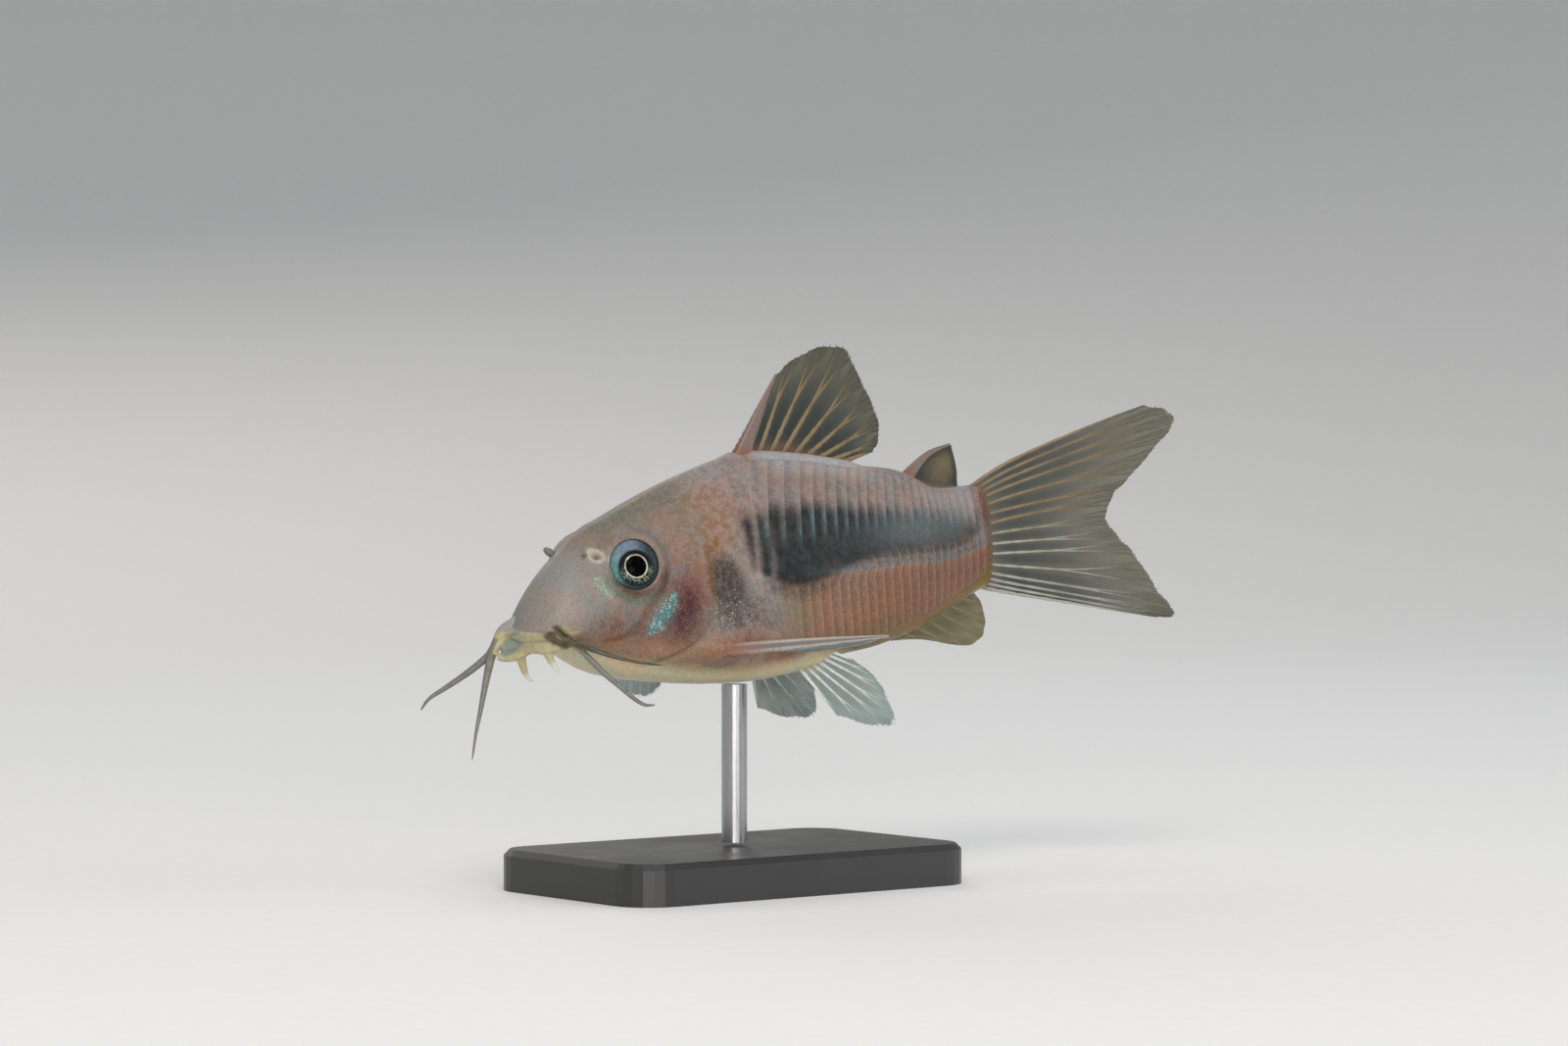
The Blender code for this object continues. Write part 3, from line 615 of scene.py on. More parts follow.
def make_skin():
    settings = bpy.context.scene.cory_body
    places = ring_places(settings.head_rings, settings.body_rings)
    sides = settings.ring_points
    turn = np.arange(sides) / sides * 2.0
    side = np.where(turn <= 1.0, 1.0, -1.0)
    share = np.where(turn <= 1.0, turn, 2.0 - turn)
    root, share = np.meshgrid(np.sqrt(places), share, indexing="ij")
    side = np.broadcast_to(side, root.shape)
    plain = flank(root, share, side)
    points = plain + flank_normal(root, share, side) * relief(plain, share)[..., None]
    for eye_side in (-1.0, 1.0):
        points = seat_eye(points, eye_side)
    marks = markings(plain, share)
    tip = np.array([[0.0, 0.0, BODY_STATIONS[0][4]]])
    end = plain[-1].mean(axis=0)[None]
    rows = len(places)
    k = np.arange(sides)
    after = (k + 1) % sides
    first = np.stack([k, after, np.full(sides, rows * sides)], -1)
    last = np.stack([(rows - 1) * sides + after, (rows - 1) * sides + k,
                     np.full(sides, rows * sides + 1)], -1)
    straight = np.concatenate([points.reshape(-1, 3), tip, end])
    values = {name: np.concatenate([v.ravel(), [v[0, 0], v[-1, 0]]]) for name, v in marks.items()}
    wall = grid_faces(rows, sides, wrapped=True)[:, ::-1]
    shape = Shape()
    shape.add(pose(straight), [wall, first, last], straight=straight, **values)
    shape.build("skin", fish_skin(), "skin", ("head", "trunk", "tail"))


# Plates: two rows of overlapping bony plates on each side

UPPER_RIMS = ((0, 21.0), (1, 22.6), (3, 26.1), (5, 28.9), (8, 32.6), (12, 36.8), (16, 41.2), (20, 45.9),
              (24, 51.2))
LOWER_RIMS = ((0, 22.4), (1, 23.8), (2, 25.2), (4, 27.6), (8, 32.0), (12, 36.0), (16, 40.1), (20, 44.7),
              (25, 51.3))
UPPER_TOP_SHARE = 0.035
LOWER_END_SHARE = 0.79


def plate_lines(side, rims, upper_row, u, v):
    """Where the plates of one row lie: along, share and how far their ends sink into the skin."""
    index = np.arange(rims[-1][0])[:, None, None]
    knots = np.array(rims, float)
    rim = through(index.astype(float), knots[:, 0], knots[:, 1])
    pitch = through(index + 1.0, knots[:, 0], knots[:, 1]) - rim
    front = 1 - between(rim, 26.0, 40.0)
    top = UPPER_TOP_SHARE if upper_row else share_at(rim, read_line(rim, SEAM_LINE))
    low = share_at(rim, read_line(rim, SEAM_LINE)) if upper_row else LOWER_END_SHARE
    width = np.abs(flank(np.sqrt(rim), top + (low - top) * u, side)[..., 1])
    lean = 0.76 * (width.max(axis=1, keepdims=True) - width)
    if upper_row:
        lean = lean + (1.5 * front + 0.2) * between(u, 0.78, 1.02)
    else:
        lean = lean + (0.9 * front + 0.2) * (1 - between(u, 0.0, 0.2))
    rounding = 0.4 * pitch * (1 - np.clip(np.minimum(u, 1 - u) / 0.06, 0, 1)) ** 2
    serration = 0.02 * np.sin(u * 113.0) * v ** 6
    along = rim + lean - rounding * v - (1 - v) * pitch * 1.5 + serration
    along = np.clip(along, 17.0, BODY_END - 0.6)
    seam = share_at(along, read_line(along, SEAM_LINE))
    if upper_row:
        share = UPPER_TOP_SHARE + (seam + 0.004 - UPPER_TOP_SHARE) * u
        sunk = 0.15 * (1 - np.clip(u / 0.07, 0, 1)) ** 2 + 0.04 * (1 - np.clip((1 - u) / 0.03, 0, 1))
        sunk = sunk + 0.2 * (1 - between(along, 20.2, 22.4 + 4.4 * (1 - u)))
    else:
        share = seam - 0.014 + (LOWER_END_SHARE + 0.03 * between(along, 28.0, 36.0) - seam + 0.014) * u
        sunk = 0.15 * (1 - np.clip((1 - u) / 0.09, 0, 1)) ** 2 - 0.05 * bump(u, 0.035, 0.03) * v
        sunk = sunk + 0.2 * (1 - between(along, 22.3, 27.0))
    sunk = sunk + 0.12 * between(along, 50.2, 51.4)
    return along, share, sunk


def plate_shape(side, rims, upper_row):
    """All plates of one row on one side: rims are (index, along) of their rear edges."""
    settings = bpy.context.scene.cory_body
    rows = settings.plate_rows
    columns = settings.plate_columns
    u = np.linspace(0.0, 1.0, rows + 1)[None, :, None]
    v = (1 - (1 - np.linspace(0.0, 1.0, columns + 1)) ** 1.7)[None, None, :]
    along, share, sunk = plate_lines(side, rims, upper_row, u, v)
    side = np.full(along.shape, side)
    root = np.sqrt(along)
    plain = flank(root, share, side)
    normal = flank_normal(root, share, side)
    level = -0.09 + 0.1 * v ** 1.1 - sunk
    thin = settings.plate_thickness * (1 + (1 - v))
    upper = plain + normal * level[..., None]
    lower = plain + normal * (level - thin)[..., None]
    marks = markings(plain, share)
    count = len(along)
    tone = np.sin(np.arange(count)[:, None, None] * 2.4) * 0.5 + 0.5
    finger = 0.45 * (between(v, 0.5, 0.95) - 0.55) + 0.35 * (tone - 0.5)
    marks["band"] = band_mark(along, plain[..., 2] + finger * between(plain[..., 2], -1.0, 1.0))
    shape = Shape()
    for k in range(count):
        points, faces = closed_sheet(upper[k], lower[k])
        values = {name: np.tile(value[k].ravel(), 2) for name, value in marks.items()}
        rim_value = np.tile(np.broadcast_to(v[0], along[k].shape).ravel(), 2)
        maps = plate_map(faces, along[k], share[k], rows, columns, side.flat[0])
        shape.add(pose(points), faces, maps, straight=points, rim=rim_value,
                  tone=np.full(len(points), tone[k, 0, 0]), **values)
    return shape


PATCH_SIZE = 0.003


def plate_map(faces, along, share, rows, columns, side):
    """Where each face of a plate lies on an unwrap of the body, one small patch to each step down."""
    here = np.concatenate(faces) % ((rows + 1) * (columns + 1))
    row = here // (columns + 1)
    column = here % (columns + 1)
    step = np.clip(row.min(axis=1), 0, rows - 1)
    middle = columns // 2
    x = along[step, middle] / BODY_END * 0.96 + 0.02
    y = 0.5 + side * (0.01 + 0.48 * share[step, middle])
    inside = np.stack([column / columns, row - step[:, None]], -1) - 0.5
    return np.stack([x, y], -1)[:, None, :] + inside * PATCH_SIZE


def make_plates():
    for word, side in (("left", -1.0), ("right", 1.0)):
        upper = plate_shape(side, UPPER_RIMS, True)
        upper.build(f"upper_plates_{word}", plate_finish(), "skin")
        lower = plate_shape(side, LOWER_RIMS, False)
        lower.build(f"lower_plates_{word}", plate_finish(), "skin")


# Fins

class Fin:
    """The curved sheet of a fin between its root and its margin, read by share and reach."""

    def __init__(self, root, margin, swell=0.0, wave=0.0, waves=1.5, join=None):
        self.root = np.array(root, float)
        self.margin = np.array(margin, float)
        self.swell = swell
        self.wave = wave
        self.waves = waves
        self.join = join

    def straight(self, share, reach):
        share = np.clip(share, 0.0, 1.0)
        inner = curve_points(self.root, share)
        if self.join:
            outer = curve_points(self.margin[:self.join], np.clip(share * 2, 0, 1))
            lower = curve_points(self.margin[self.join - 1:], np.clip(share * 2 - 1, 0, 1))
            outer = np.where((share <= 0.5)[..., None], outer, lower)
        else:
            outer = curve_points(self.margin, share)
        points = inner + (outer - inner) * reach[..., None]
        bow = 4.0 * np.clip(reach, 0, 1) * (1.0 - np.clip(reach, 0, 1))
        points[..., 2] += self.swell * bow * np.clip(1.0 - 2.0 * share, 0, 1) ** 2
        ripple = np.sin(share * self.waves * 2 * math.pi + reach * 2.0)
        points[..., 1] += self.wave * ripple * ease(reach)
        return points

    def world(self, share, reach):
        return pose(self.straight(share, reach))

    def normal(self, share, reach):
        step = 0.01
        over = self.world(np.clip(share + step, 0, 1), reach) - self.world(
            np.clip(share - step, 0, 1), reach)
        out = self.world(share, reach + step) - self.world(share, reach - step)
        normal = np.cross(over, out)
        return normal / np.linalg.norm(normal, axis=-1, keepdims=True)


def low_part(share, fin):
    """1 on the lower lobe of a forked fin, where the rays are whitish."""
    return between(share, 0.42, 0.58) if fin.join else np.zeros(np.shape(share))


def fin_web(shape, fin, rays, settings, ragged=0.022, start=-0.06):
    """The skin of a fin: thick at the root, thin at the margin, sunk between the rays."""
    columns = max(rays * 14, 40)
    rows = 40
    share, step = np.meshgrid(np.linspace(0.0, 1.0, columns + 1), np.linspace(0.0, 1.0, rows + 1),
                              indexing="ij")
    phase = share * rays
    notch = np.abs(np.sin(math.pi * phase))
    fine = np.abs(np.sin(math.pi * phase * 4.0 + 0.4))
    uneven = 0.5 + 0.5 * np.sin(share * 37.0) * np.sin(share * 17.0 + 1.0)
    limit = 1.0 - ragged * (0.7 * notch ** 2 + 0.5 * fine + 0.5 * uneven)
    reach = start + (limit - start) * step
    middle = fin.world(share, reach)
    normal = fin.normal(share, reach)
    half = (settings.web_root - (settings.web_root - settings.web_edge) * ease(step * 1.3)) / 2 * MM
    half = np.clip(half, settings.web_edge / 2 * MM, None)
    sink = np.cos(math.pi * phase) ** 2
    half = half * (0.6 + 0.4 * sink)
    points, faces = closed_sheet(middle + normal * half[..., None], middle - normal * half[..., None])
    straight = fin.straight(share, reach)
    values = {
        "straight": np.tile(straight.reshape(-1, 3), (2, 1)),
        "reach": np.tile(reach.ravel(), 2),
        "across_fin": np.tile(share.ravel(), 2),
        "between_rays": np.tile(notch.ravel(), 2),
        "ray": np.zeros(len(points)),
        "low": low_part(np.tile(share.ravel(), 2), fin),
    }
    shape.add(points, faces, **values)


def fin_rays(shape, fin, rays, settings, radius=0.2, splits=(0.4, 0.7), plain_first=1, start=-0.08):
    """The rays of a fin, each of which splits in two and then in two again."""
    branches = ((-1, -1, start), (-1, 1, splits[1]), (1, -1, splits[0]), (1, 1, splits[1]))
    for n in range(rays + 1):
        home = n / rays
        home = min(max(home, 0.004), 0.996)
        plain = n < plain_first or n == rays
        forks = ((0.0, 0.0, start),) if plain else branches
        for first, second, leaves in forks:
            reach = start + (0.995 - start) * np.linspace(0.0, 1.0, 30)
            reach = reach[reach > leaves - 0.03]
            spread = 0.25 * first * between(reach, splits[0], 1.0) / rays
            spread = spread + 0.125 * second * between(reach, splits[1], 1.0) / rays
            share = np.clip(home + spread, 0.0, 1.0)
            path = fin.world(share, reach)
            normal = fin.normal(share, reach)
            thick = radius * (1.0 - 0.78 * np.clip(reach, 0, 1) ** 1.2)
            if not plain:
                thick = thick * (1 - 0.25 * between(reach, splits[0], splits[0] + 0.1))
            if leaves > start:
                thick[0] *= 0.8
            joints = 1.0 + 0.12 * np.cos(reach * 60.0)
            points, faces, _ = tube(path, thick * joints, normal, flatness=0.85, sides=6)
            straight = fin.straight(share, reach)
            along = np.concatenate([np.repeat(straight, 6, axis=0), straight[:1], straight[-1:]])
            reached = np.concatenate([np.repeat(reach, 6), reach[:1], reach[-1:]])
            across = np.full(len(points), home)
            shape.add(points, faces, straight=along, reach=reached, across_fin=across,
                      between_rays=np.zeros(len(points)), ray=np.ones(len(points)),
                      low=low_part(across, fin))


def back_line(start, end, drop, count=5):
    """Points along the back ridge, a little inside it."""
    along = np.linspace(start, end, count)
    height = flank(np.sqrt(along), 0.0, 1.0)[:, 2] - drop
    return np.stack([along, np.zeros(count), height], -1)


def keel_line(start, end, drop, count=5):
    """Points along the keel, a little inside it."""
    along = np.linspace(start, end, count)
    height = flank(np.sqrt(along), 1.0, 1.0)[:, 2] + drop
    return np.stack([along, np.zeros(count), height], -1)


def level(margin):
    """Margin points in the plane of symmetry from pairs of along and height."""
    return [(along, 0.0, height) for along, height in margin]


DORSAL_MARGIN = ((28.9, 14.9), (30.7, 16.1), (33.6, 17.0), (36.1, 16.6), (37.3, 14.2), (38.5, 12.0),
                 (39.3, 9.9), (39.0, 8.1), (38.2, 7.35))
ADIPOSE_MARGIN = ((43.2, 5.5), (45.2, 6.4), (47.7, 6.9), (48.1, 6.5), (48.3, 5.5), (48.4, 4.3))
ANAL_MARGIN = ((38.6, -9.35), (42.4, -9.75), (46.3, -10.75), (48.6, -11.1), (50.4, -10.5), (51.05, -9.2),
               (50.7, -7.5), (49.9, -6.6))
CAUDAL_MARGIN = ((69.3, 8.3), (71.4, 7.7), (72.1, 6.5), (70.2, 4.6), (66.8, 1.7), (65.3, 0.6),
                 (64.2, -1.5), (65.4, -3.3), (66.9, -5.0), (69.1, -8.8), (70.3, -10.5), (70.2, -11.2),
                 (68.6, -11.05))
PELVIC_ROOT = ((26.2, 4.0, -10.0), (27.7, 4.1, -9.4), (29.3, 4.2, -8.9))
PELVIC_MARGIN = ((28.1, 6.5, -14.2), (30.3, 6.9, -15.2), (32.5, 6.8, -15.7), (33.9, 6.3, -15.5),
                 (33.85, 5.8, -13.8), (33.45, 5.4, -12.3), (32.5, 5.0, -11.0), (31.2, 4.7, -9.9))
PECTORAL_ROOT = (17.0, 7.3, -7.0)
PECTORAL_RAYS = {
    "left": ((13.8, 37.0, 0.0), (12.0, 30.0, 3.0), (9.6, 21.0, 6.0), (7.2, 11.0, 9.0), (4.8, 4.0, 10.0)),
    "right": ((13.8, 76.0, 13.0), (12.0, 67.0, 26.0), (10.6, 57.0, 33.0), (8.2, 45.0, 36.0),
              (5.6, 28.0, 33.0)),
}
DORSAL_SPINE = ((24.3, 0.0, 7.4), (25.3, 0.0, 9.4), (26.8, 0.0, 11.9), (28.9, 0.0, 14.95))
ADIPOSE_SPINE = ((41.4, 0.0, 4.1), (42.8, 0.0, 5.3), (45.0, 0.0, 6.45), (47.8, 0.0, 6.95))


def ray_tip(root, side, length, spread, droop):
    """The end of a ray: spread turns it out from the body's axis, droop lowers it, in degrees."""
    flat = length * math.cos(math.radians(droop))
    return (root[0] + flat * math.cos(math.radians(spread)),
            root[1] + side * flat * math.sin(math.radians(spread)),
            root[2] - length * math.sin(math.radians(droop)))


def make_unpaired_fins():
    settings = bpy.context.scene.cory_fins
    dorsal = Fin(back_line(25.2, 34.4, 0.1), level(DORSAL_MARGIN), wave=0.18, waves=1.2)
    shape = Shape()
    fin_web(shape, dorsal, settings.dorsal_rays, settings)
    fin_rays(shape, dorsal, settings.dorsal_rays, settings, radius=0.3)
    shape.build("dorsal_fin_web", dusky_fin(), "fin_web", ("dorsal_fin",))

    adipose = Fin(back_line(42.6, 48.3, 0.1), level(ADIPOSE_MARGIN), wave=0.05)
    shape = Shape()
    fin_web(shape, adipose, 1, settings, ragged=0.01)
    shape.build("adipose_fin_web", adipose_skin(), "fin_web", ("adipose_fin",))

    anal = Fin(keel_line(38.2, 49.2, 0.1), level(ANAL_MARGIN), wave=0.15, waves=1.0)
    shape = Shape()
    fin_web(shape, anal, settings.anal_rays, settings)
    fin_rays(shape, anal, settings.anal_rays, settings, radius=0.18)
    shape.build("anal_fin_web", olive_fin(), "fin_web", ("anal_fin",))

    root = [(49.7, 0.0, 2.75), (50.7, 0.0, 1.2), (51.0, 0.0, -1.6), (50.7, 0.0, -4.4), (49.8, 0.0, -5.95)]
    join = CAUDAL_MARGIN.index((64.2, -1.5)) + 1
    caudal = Fin(root, level(CAUDAL_MARGIN), swell=0.35, wave=0.25, waves=1.0, join=join)
    shape = Shape()
    fin_web(shape, caudal, settings.caudal_rays, settings, ragged=0.013, start=-0.04)
    fin_rays(shape, caudal, settings.caudal_rays, settings, radius=0.2, start=-0.06)
    shape.build("caudal_fin_web", tail_fin(), "fin_web", ("caudal_upper_lobe", "caudal_lower_lobe"))


def make_paired_fins():
    settings = bpy.context.scene.cory_fins
    for word, side in (("left", -1), ("right", 1)):
        turned = np.array([1.0, side, 1.0])
        pelvic = Fin(np.array(PELVIC_ROOT) * turned, np.array(PELVIC_MARGIN) * turned, wave=0.12)
        shape = Shape()
        fin_web(shape, pelvic, settings.pelvic_rays, settings, ragged=0.035)
        fin_rays(shape, pelvic, settings.pelvic_rays, settings, radius=0.2)
        shape.build(f"pelvic_fin_web_{word}", pale_fin(), "pale_fin_web", (f"pelvic_fin_{word}",))

        rays = PECTORAL_RAYS[word]
        root = (PECTORAL_ROOT[0] + 0.1, side * PECTORAL_ROOT[1], PECTORAL_ROOT[2])
        inner = (root[0] + 1.8, root[1] - side * 0.2, root[2])
        margin = [ray_tip(root, side, rays[0][0] * 0.97, rays[0][1], rays[0][2])]
        margin += [ray_tip(root, side, *ray) for ray in rays[1:]]
        pectoral = Fin((root, inner), margin, wave=0.0)
        shape = Shape()
        fin_web(shape, pectoral, settings.pectoral_rays, settings, ragged=0.05)
        fin_rays(shape, pectoral, settings.pectoral_rays, settings, radius=0.14)
        shape.build(f"pectoral_fin_web_{word}", pale_fin(), "pale_fin_web", (f"pectoral_fin_{word}",))


def spine_shape(points, radii, normal, covered, flesh=0.0, flatness=0.75, teeth=0.06, steps=80):
    """A bony spine with a groove down each flat side and fine teeth on its rear edge."""
    shares = np.linspace(0.0, 1.0, steps)
    straight = curve_points(np.array(points, float), shares)
    path = pose(straight)
    tangent = np.gradient(path, axis=0)
    tangent /= np.linalg.norm(tangent, axis=1, keepdims=True)
    first = np.cross(tangent, np.broadcast_to(normal, path.shape))
    first /= np.linalg.norm(first, axis=1, keepdims=True)
    second = np.cross(tangent, first)
    sides = 28
    turn = np.linspace(0.0, 2 * math.pi, sides, endpoint=False)
    radius = curve_points(np.array(radii, float), shares)
    groove = 1 - 0.28 * bump(np.abs(np.sin(turn)), 1.0, 0.12) * 1.0
    tooth = 1 + teeth / 0.3 * (np.cos(turn) > 0.8) * np.abs(np.sin(shares * steps * 0.5))[:, None]
    reach = radius[:, None] * groove[None, :] * tooth
    ring = first[:, None] * (np.cos(turn)[None, :] * reach)[..., None]
    ring = ring + second[:, None] * (np.sin(turn)[None, :] * reach * flatness)[..., None]
    world = path[:, None] + ring * MM
    world = np.concatenate([world.reshape(-1, 3), path[:1], path[-1:]])
    wall = grid_faces(steps, sides, wrapped=True)
    k = np.arange(sides)
    after = (k + 1) % sides
    caps = [np.stack([after, k, np.full(sides, steps * sides)], -1),
            np.stack([(steps - 1) * sides + k, (steps - 1) * sides + after,
                      np.full(sides, steps * sides + 1)], -1)]
    shape = Shape()
    ridge = np.concatenate([np.tile(np.abs(np.sin(turn)), steps), [0.0, 0.0]])
    reach_value = np.concatenate([np.repeat(shares, sides), [0.0, 1.0]])
    placed = np.concatenate([np.repeat(straight, sides, axis=0), straight[:1], straight[-1:]])
    shape.add(world, [wall] + caps, straight=placed, reach=reach_value, groove=ridge,
              flesh=np.full(len(world), flesh), covered=1 - between(reach_value, *covered))
    return shape


def make_spines():
    right = (0.0, 1.0, 0.0)
    shape = spine_shape(DORSAL_SPINE, (1.25, 0.72, 0.36, 0.1), right, (0.12, 0.4), flesh=1.0, teeth=0.02)
    shape.build("dorsal_spine_bone", spine_bone(), "spine_bone", ("dorsal_spine",))
    shape = spine_shape(ADIPOSE_SPINE, (0.8, 0.5, 0.26, 0.09), right, (0.12, 0.4), flesh=1.0, teeth=0.02)
    shape.build("adipose_spine_bone", spine_bone(), "spine_bone", ("adipose_spine",))
    for word, side in (("left", -1), ("right", 1)):
        inside = (PECTORAL_ROOT[0] - 2.2, side * (PECTORAL_ROOT[1] - 3.3), PECTORAL_ROOT[2] + 0.2)
        shoulder = (PECTORAL_ROOT[0] - 0.9, side * (PECTORAL_ROOT[1] - 1.1), PECTORAL_ROOT[2] + 0.05)
        root = (PECTORAL_ROOT[0], side * PECTORAL_ROOT[1], PECTORAL_ROOT[2])
        tip = ray_tip(root, side, *PECTORAL_RAYS[word][0])
        middle = tuple((a + b) / 2 for a, b in zip(root, tip))
        outward = (-0.5, side * 0.85, 0.1)
        shape = spine_shape((inside, shoulder, root, middle, tip), (0.7, 0.7, 0.56, 0.38, 0.1), outward, (0.46, 0.7))
        shape.build(f"pectoral_spine_bone_{word}", spine_bone(), "spine_bone",
                    (f"pectoral_spine_{word}",))


# Mouth and barbels

# Barbel: points, radii and tone, 0 for cream flesh to 1 for dark flesh
BARBELS = {
    "barbel_upper_left": (((1.7, -3.6, -4.15), (2.07, -4.3, -4.75), (2.81, -5.6, -5.25), (3.8, -6.6, -5.83),
                           (4.8, -7.6, -6.3), (5.98, -8.4, -6.7), (7.19, -9.0, -7.0)),
                          (0.3, 0.26, 0.24, 0.2, 0.15, 0.11, 0.05), 1.0),
    "barbel_lower_left": (((2.0, -3.3, -4.5), (2.3, -3.9, -4.95), (2.71, -4.9, -5.86), (3.14, -6.1, -7.1),
                           (3.76, -7.1, -8.17), (4.37, -8.1, -9.26), (4.97, -8.8, -9.92), (5.64, -9.4, -10.04)),
                          (0.34, 0.32, 0.3, 0.27, 0.24, 0.21, 0.16, 0.08), 0.4),
    "barbel_upper_right": (((-0.1, 3.2, -4.6), (-0.27, 3.5, -4.95), (-0.66, 3.9, -5.58), (-1.75, 5.0, -6.7),
                            (-3.25, 6.4, -7.9), (-4.42, 7.4, -8.76), (-4.97, 8.0, -9.69)),
                           (0.42, 0.4, 0.36, 0.32, 0.25, 0.17, 0.07), 0.25),
    "barbel_lower_right": (((-0.15, 3.0, -4.2), (-0.4, 3.2, -4.8), (-0.65, 3.4, -5.44), (-0.92, 3.6, -6.52),
                            (-1.29, 3.8, -7.95), (-1.88, 3.9, -9.84), (-2.52, 4.0, -11.8), (-3.1, 4.1, -14.0)),
                           (0.44, 0.44, 0.41, 0.35, 0.29, 0.22, 0.15, 0.06), 0.15),
}

# Mouth: points and radii of the rolls of flesh that blend into one another
UPPER_LIP = (((1.5, -3.2, -4.3), (0.85, -2.6, -4.05), (0.5, -1.7, -3.85), (0.35, -0.6, -3.75),
              (0.33, 0.5, -3.72), (0.35, 1.4, -3.62), (0.32, 2.2, -3.6), (0.1, 2.9, -3.85)),
             (0.3, 0.32, 0.3, 0.28, 0.28, 0.32, 0.38, 0.42))
FAR_FOLD = (((1.2, 1.7, -2.5), (0.75, 2.1, -2.95), (0.4, 2.55, -3.3), (0.1, 2.85, -3.75), (-0.15, 3.05, -4.3),
             (-0.45, 3.25, -4.95), (-0.6, 3.4, -5.4)),
            (0.3, 0.42, 0.48, 0.5, 0.46, 0.42, 0.36))
LOWER_LIP = (((-0.35, 3.0, -5.65), (-0.05, 2.5, -5.75), (0.3, 1.9, -5.72), (0.65, 1.2, -5.5), (0.9, 0.4, -5.15),
              (1.0, -0.5, -5.05), (1.1, -1.3, -5.05), (1.35, -2.1, -4.95), (1.8, -2.8, -4.85), (2.4, -3.1, -4.9)),
             (0.32, 0.4, 0.42, 0.44, 0.44, 0.48, 0.54, 0.5, 0.42, 0.35))
FILLING = (((1.3, -2.2, -4.55), (0.95, -1.2, -4.5), (0.9, -0.3, -4.5), (0.95, 0.6, -4.5), (0.9, 1.4, -4.6),
            (0.7, 2.0, -4.7), (0.4, 2.6, -4.85), (-0.1, 3.0, -5.0)),
           (0.45, 0.55, 0.6, 0.64, 0.68, 0.72, 0.7, 0.56))
SNOUT_FLANGE = (((1.6, 0.6, -3.2), (1.2, 1.4, -3.3), (0.9, 2.0, -3.5), (0.6, 2.5, -3.9)), (0.5, 0.55, 0.6, 0.6))
NEAR_FLAP = (((0.75, -2.3, -3.75), (0.95, -2.95, -3.95), (1.3, -3.3, -4.25), (1.75, -3.4, -4.5)),
             (0.2, 0.4, 0.46, 0.36))
NEAR_MENTAL = (((1.15, -1.6, -5.05), (1.3, -1.75, -5.93), (1.68, -1.8, -6.6), (2.3, -1.75, -7.32)),
               (0.5, 0.33, 0.24, 0.08))
FAR_MENTAL = (((0.75, 1.45, -5.5), (1.05, 1.6, -6.35), (1.32, 1.7, -7.1), (1.72, 1.75, -7.7),
               (2.3, 1.8, -8.05)), (0.5, 0.36, 0.28, 0.2, 0.08))
FAR_EDGE = ((0.75, 2.3, -2.9), (0.35, 2.8, -3.3), (0.0, 3.15, -3.8), (-0.3, 3.45, -4.4), (-0.6, 3.7, -5.0))
MOUTH_HOLLOW = ((0.25, 0.9, -4.15), (0.2, 1.6, -4.6), (0.1, 2.2, -5.1))
MOUTH_PARTS = (UPPER_LIP, FAR_FOLD, LOWER_LIP, FILLING, SNOUT_FLANGE, NEAR_FLAP, NEAR_MENTAL, FAR_MENTAL)


def soft_tube(shape, points, radii, tone=0.5, flatness=0.9, steps=60, sides=20):
    """A soft round-ended tube of flesh along straight points."""
    straight, faces, turn, shares = flesh_roll(points, radii, flatness, steps, sides)
    path = curve_points(np.array(points, float), shares)
    placed = np.concatenate([np.repeat(path, sides, axis=0), path[:1], path[-1:]])
    over = np.concatenate([np.tile(-np.sin(turn), steps), [0.0, 0.0]])
    reach = np.concatenate([np.repeat(shares, sides), [0.0, 1.0]])
    shape.add(pose(straight), faces, straight=placed, reach=reach, upper=over,
              tone=np.full(len(straight), tone))


def flesh_roll(points, radii, flatness, steps, sides):
    """Straight points and faces of a round-ended roll of flesh."""
    shares = np.linspace(0.0, 1.0, steps)
    path = curve_points(np.array(points, float), shares)
    radius = curve_points(np.array(radii, float), shares)
    ends = np.sqrt(np.clip(1 - (np.clip(shares - 0.97, 0, 1) / 0.03) ** 2, 0.0, 1.0))
    normal = np.broadcast_to((0.25, 0.2, 1.0), path.shape)
    straight, faces, turn = tube(path, np.clip(radius * ends, 0.01, None) / MM, normal,
                                 flatness=flatness, sides=sides)
    return straight, faces, turn, shares


def blended(parts, voxel, rounds):
    """Straight points and faces of one smooth surface round several overlapping rolls."""
    points = []
    faces = []
    count = 0
    for path, radii in parts:
        straight, blocks, _, _ = flesh_roll(path, radii, 0.95, 50, 24)
        for block in blocks:
            faces.extend((block + count).tolist())
        points.append(straight)
        count += len(straight)
    mesh = bpy.data.meshes.new("rolls")
    mesh.from_pydata(np.concatenate(points).tolist(), [], faces)
    rolls = bpy.data.objects.new("rolls", mesh)
    bpy.context.scene.collection.objects.link(rolls)
    remesh = rolls.modifiers.new("merge", "REMESH")
    remesh.mode = "VOXEL"
    remesh.voxel_size = voxel
    soften = rolls.modifiers.new("soften", "SMOOTH")
    soften.factor = 0.5
    soften.iterations = rounds
    made = rolls.evaluated_get(bpy.context.evaluated_depsgraph_get()).to_mesh()
    if not made.polygons:
        raise RuntimeError("the rolls of the mouth did not merge")
    flat = np.zeros(len(made.vertices) * 3)
    made.vertices.foreach_get("co", flat)
    merged = [np.array([list(polygon.vertices)]) for polygon in made.polygons]
    bpy.data.objects.remove(rolls)
    bpy.data.meshes.remove(mesh)
    return flat.reshape(-1, 3), merged


def path_distance(points, path, pieces=30):
    """Distance from straight points to a smooth path."""
    line = curve_points(np.array(path, float), np.linspace(0.0, 1.0, pieces))
    return np.linalg.norm(points[:, None] - line[None], axis=-1).min(axis=1)


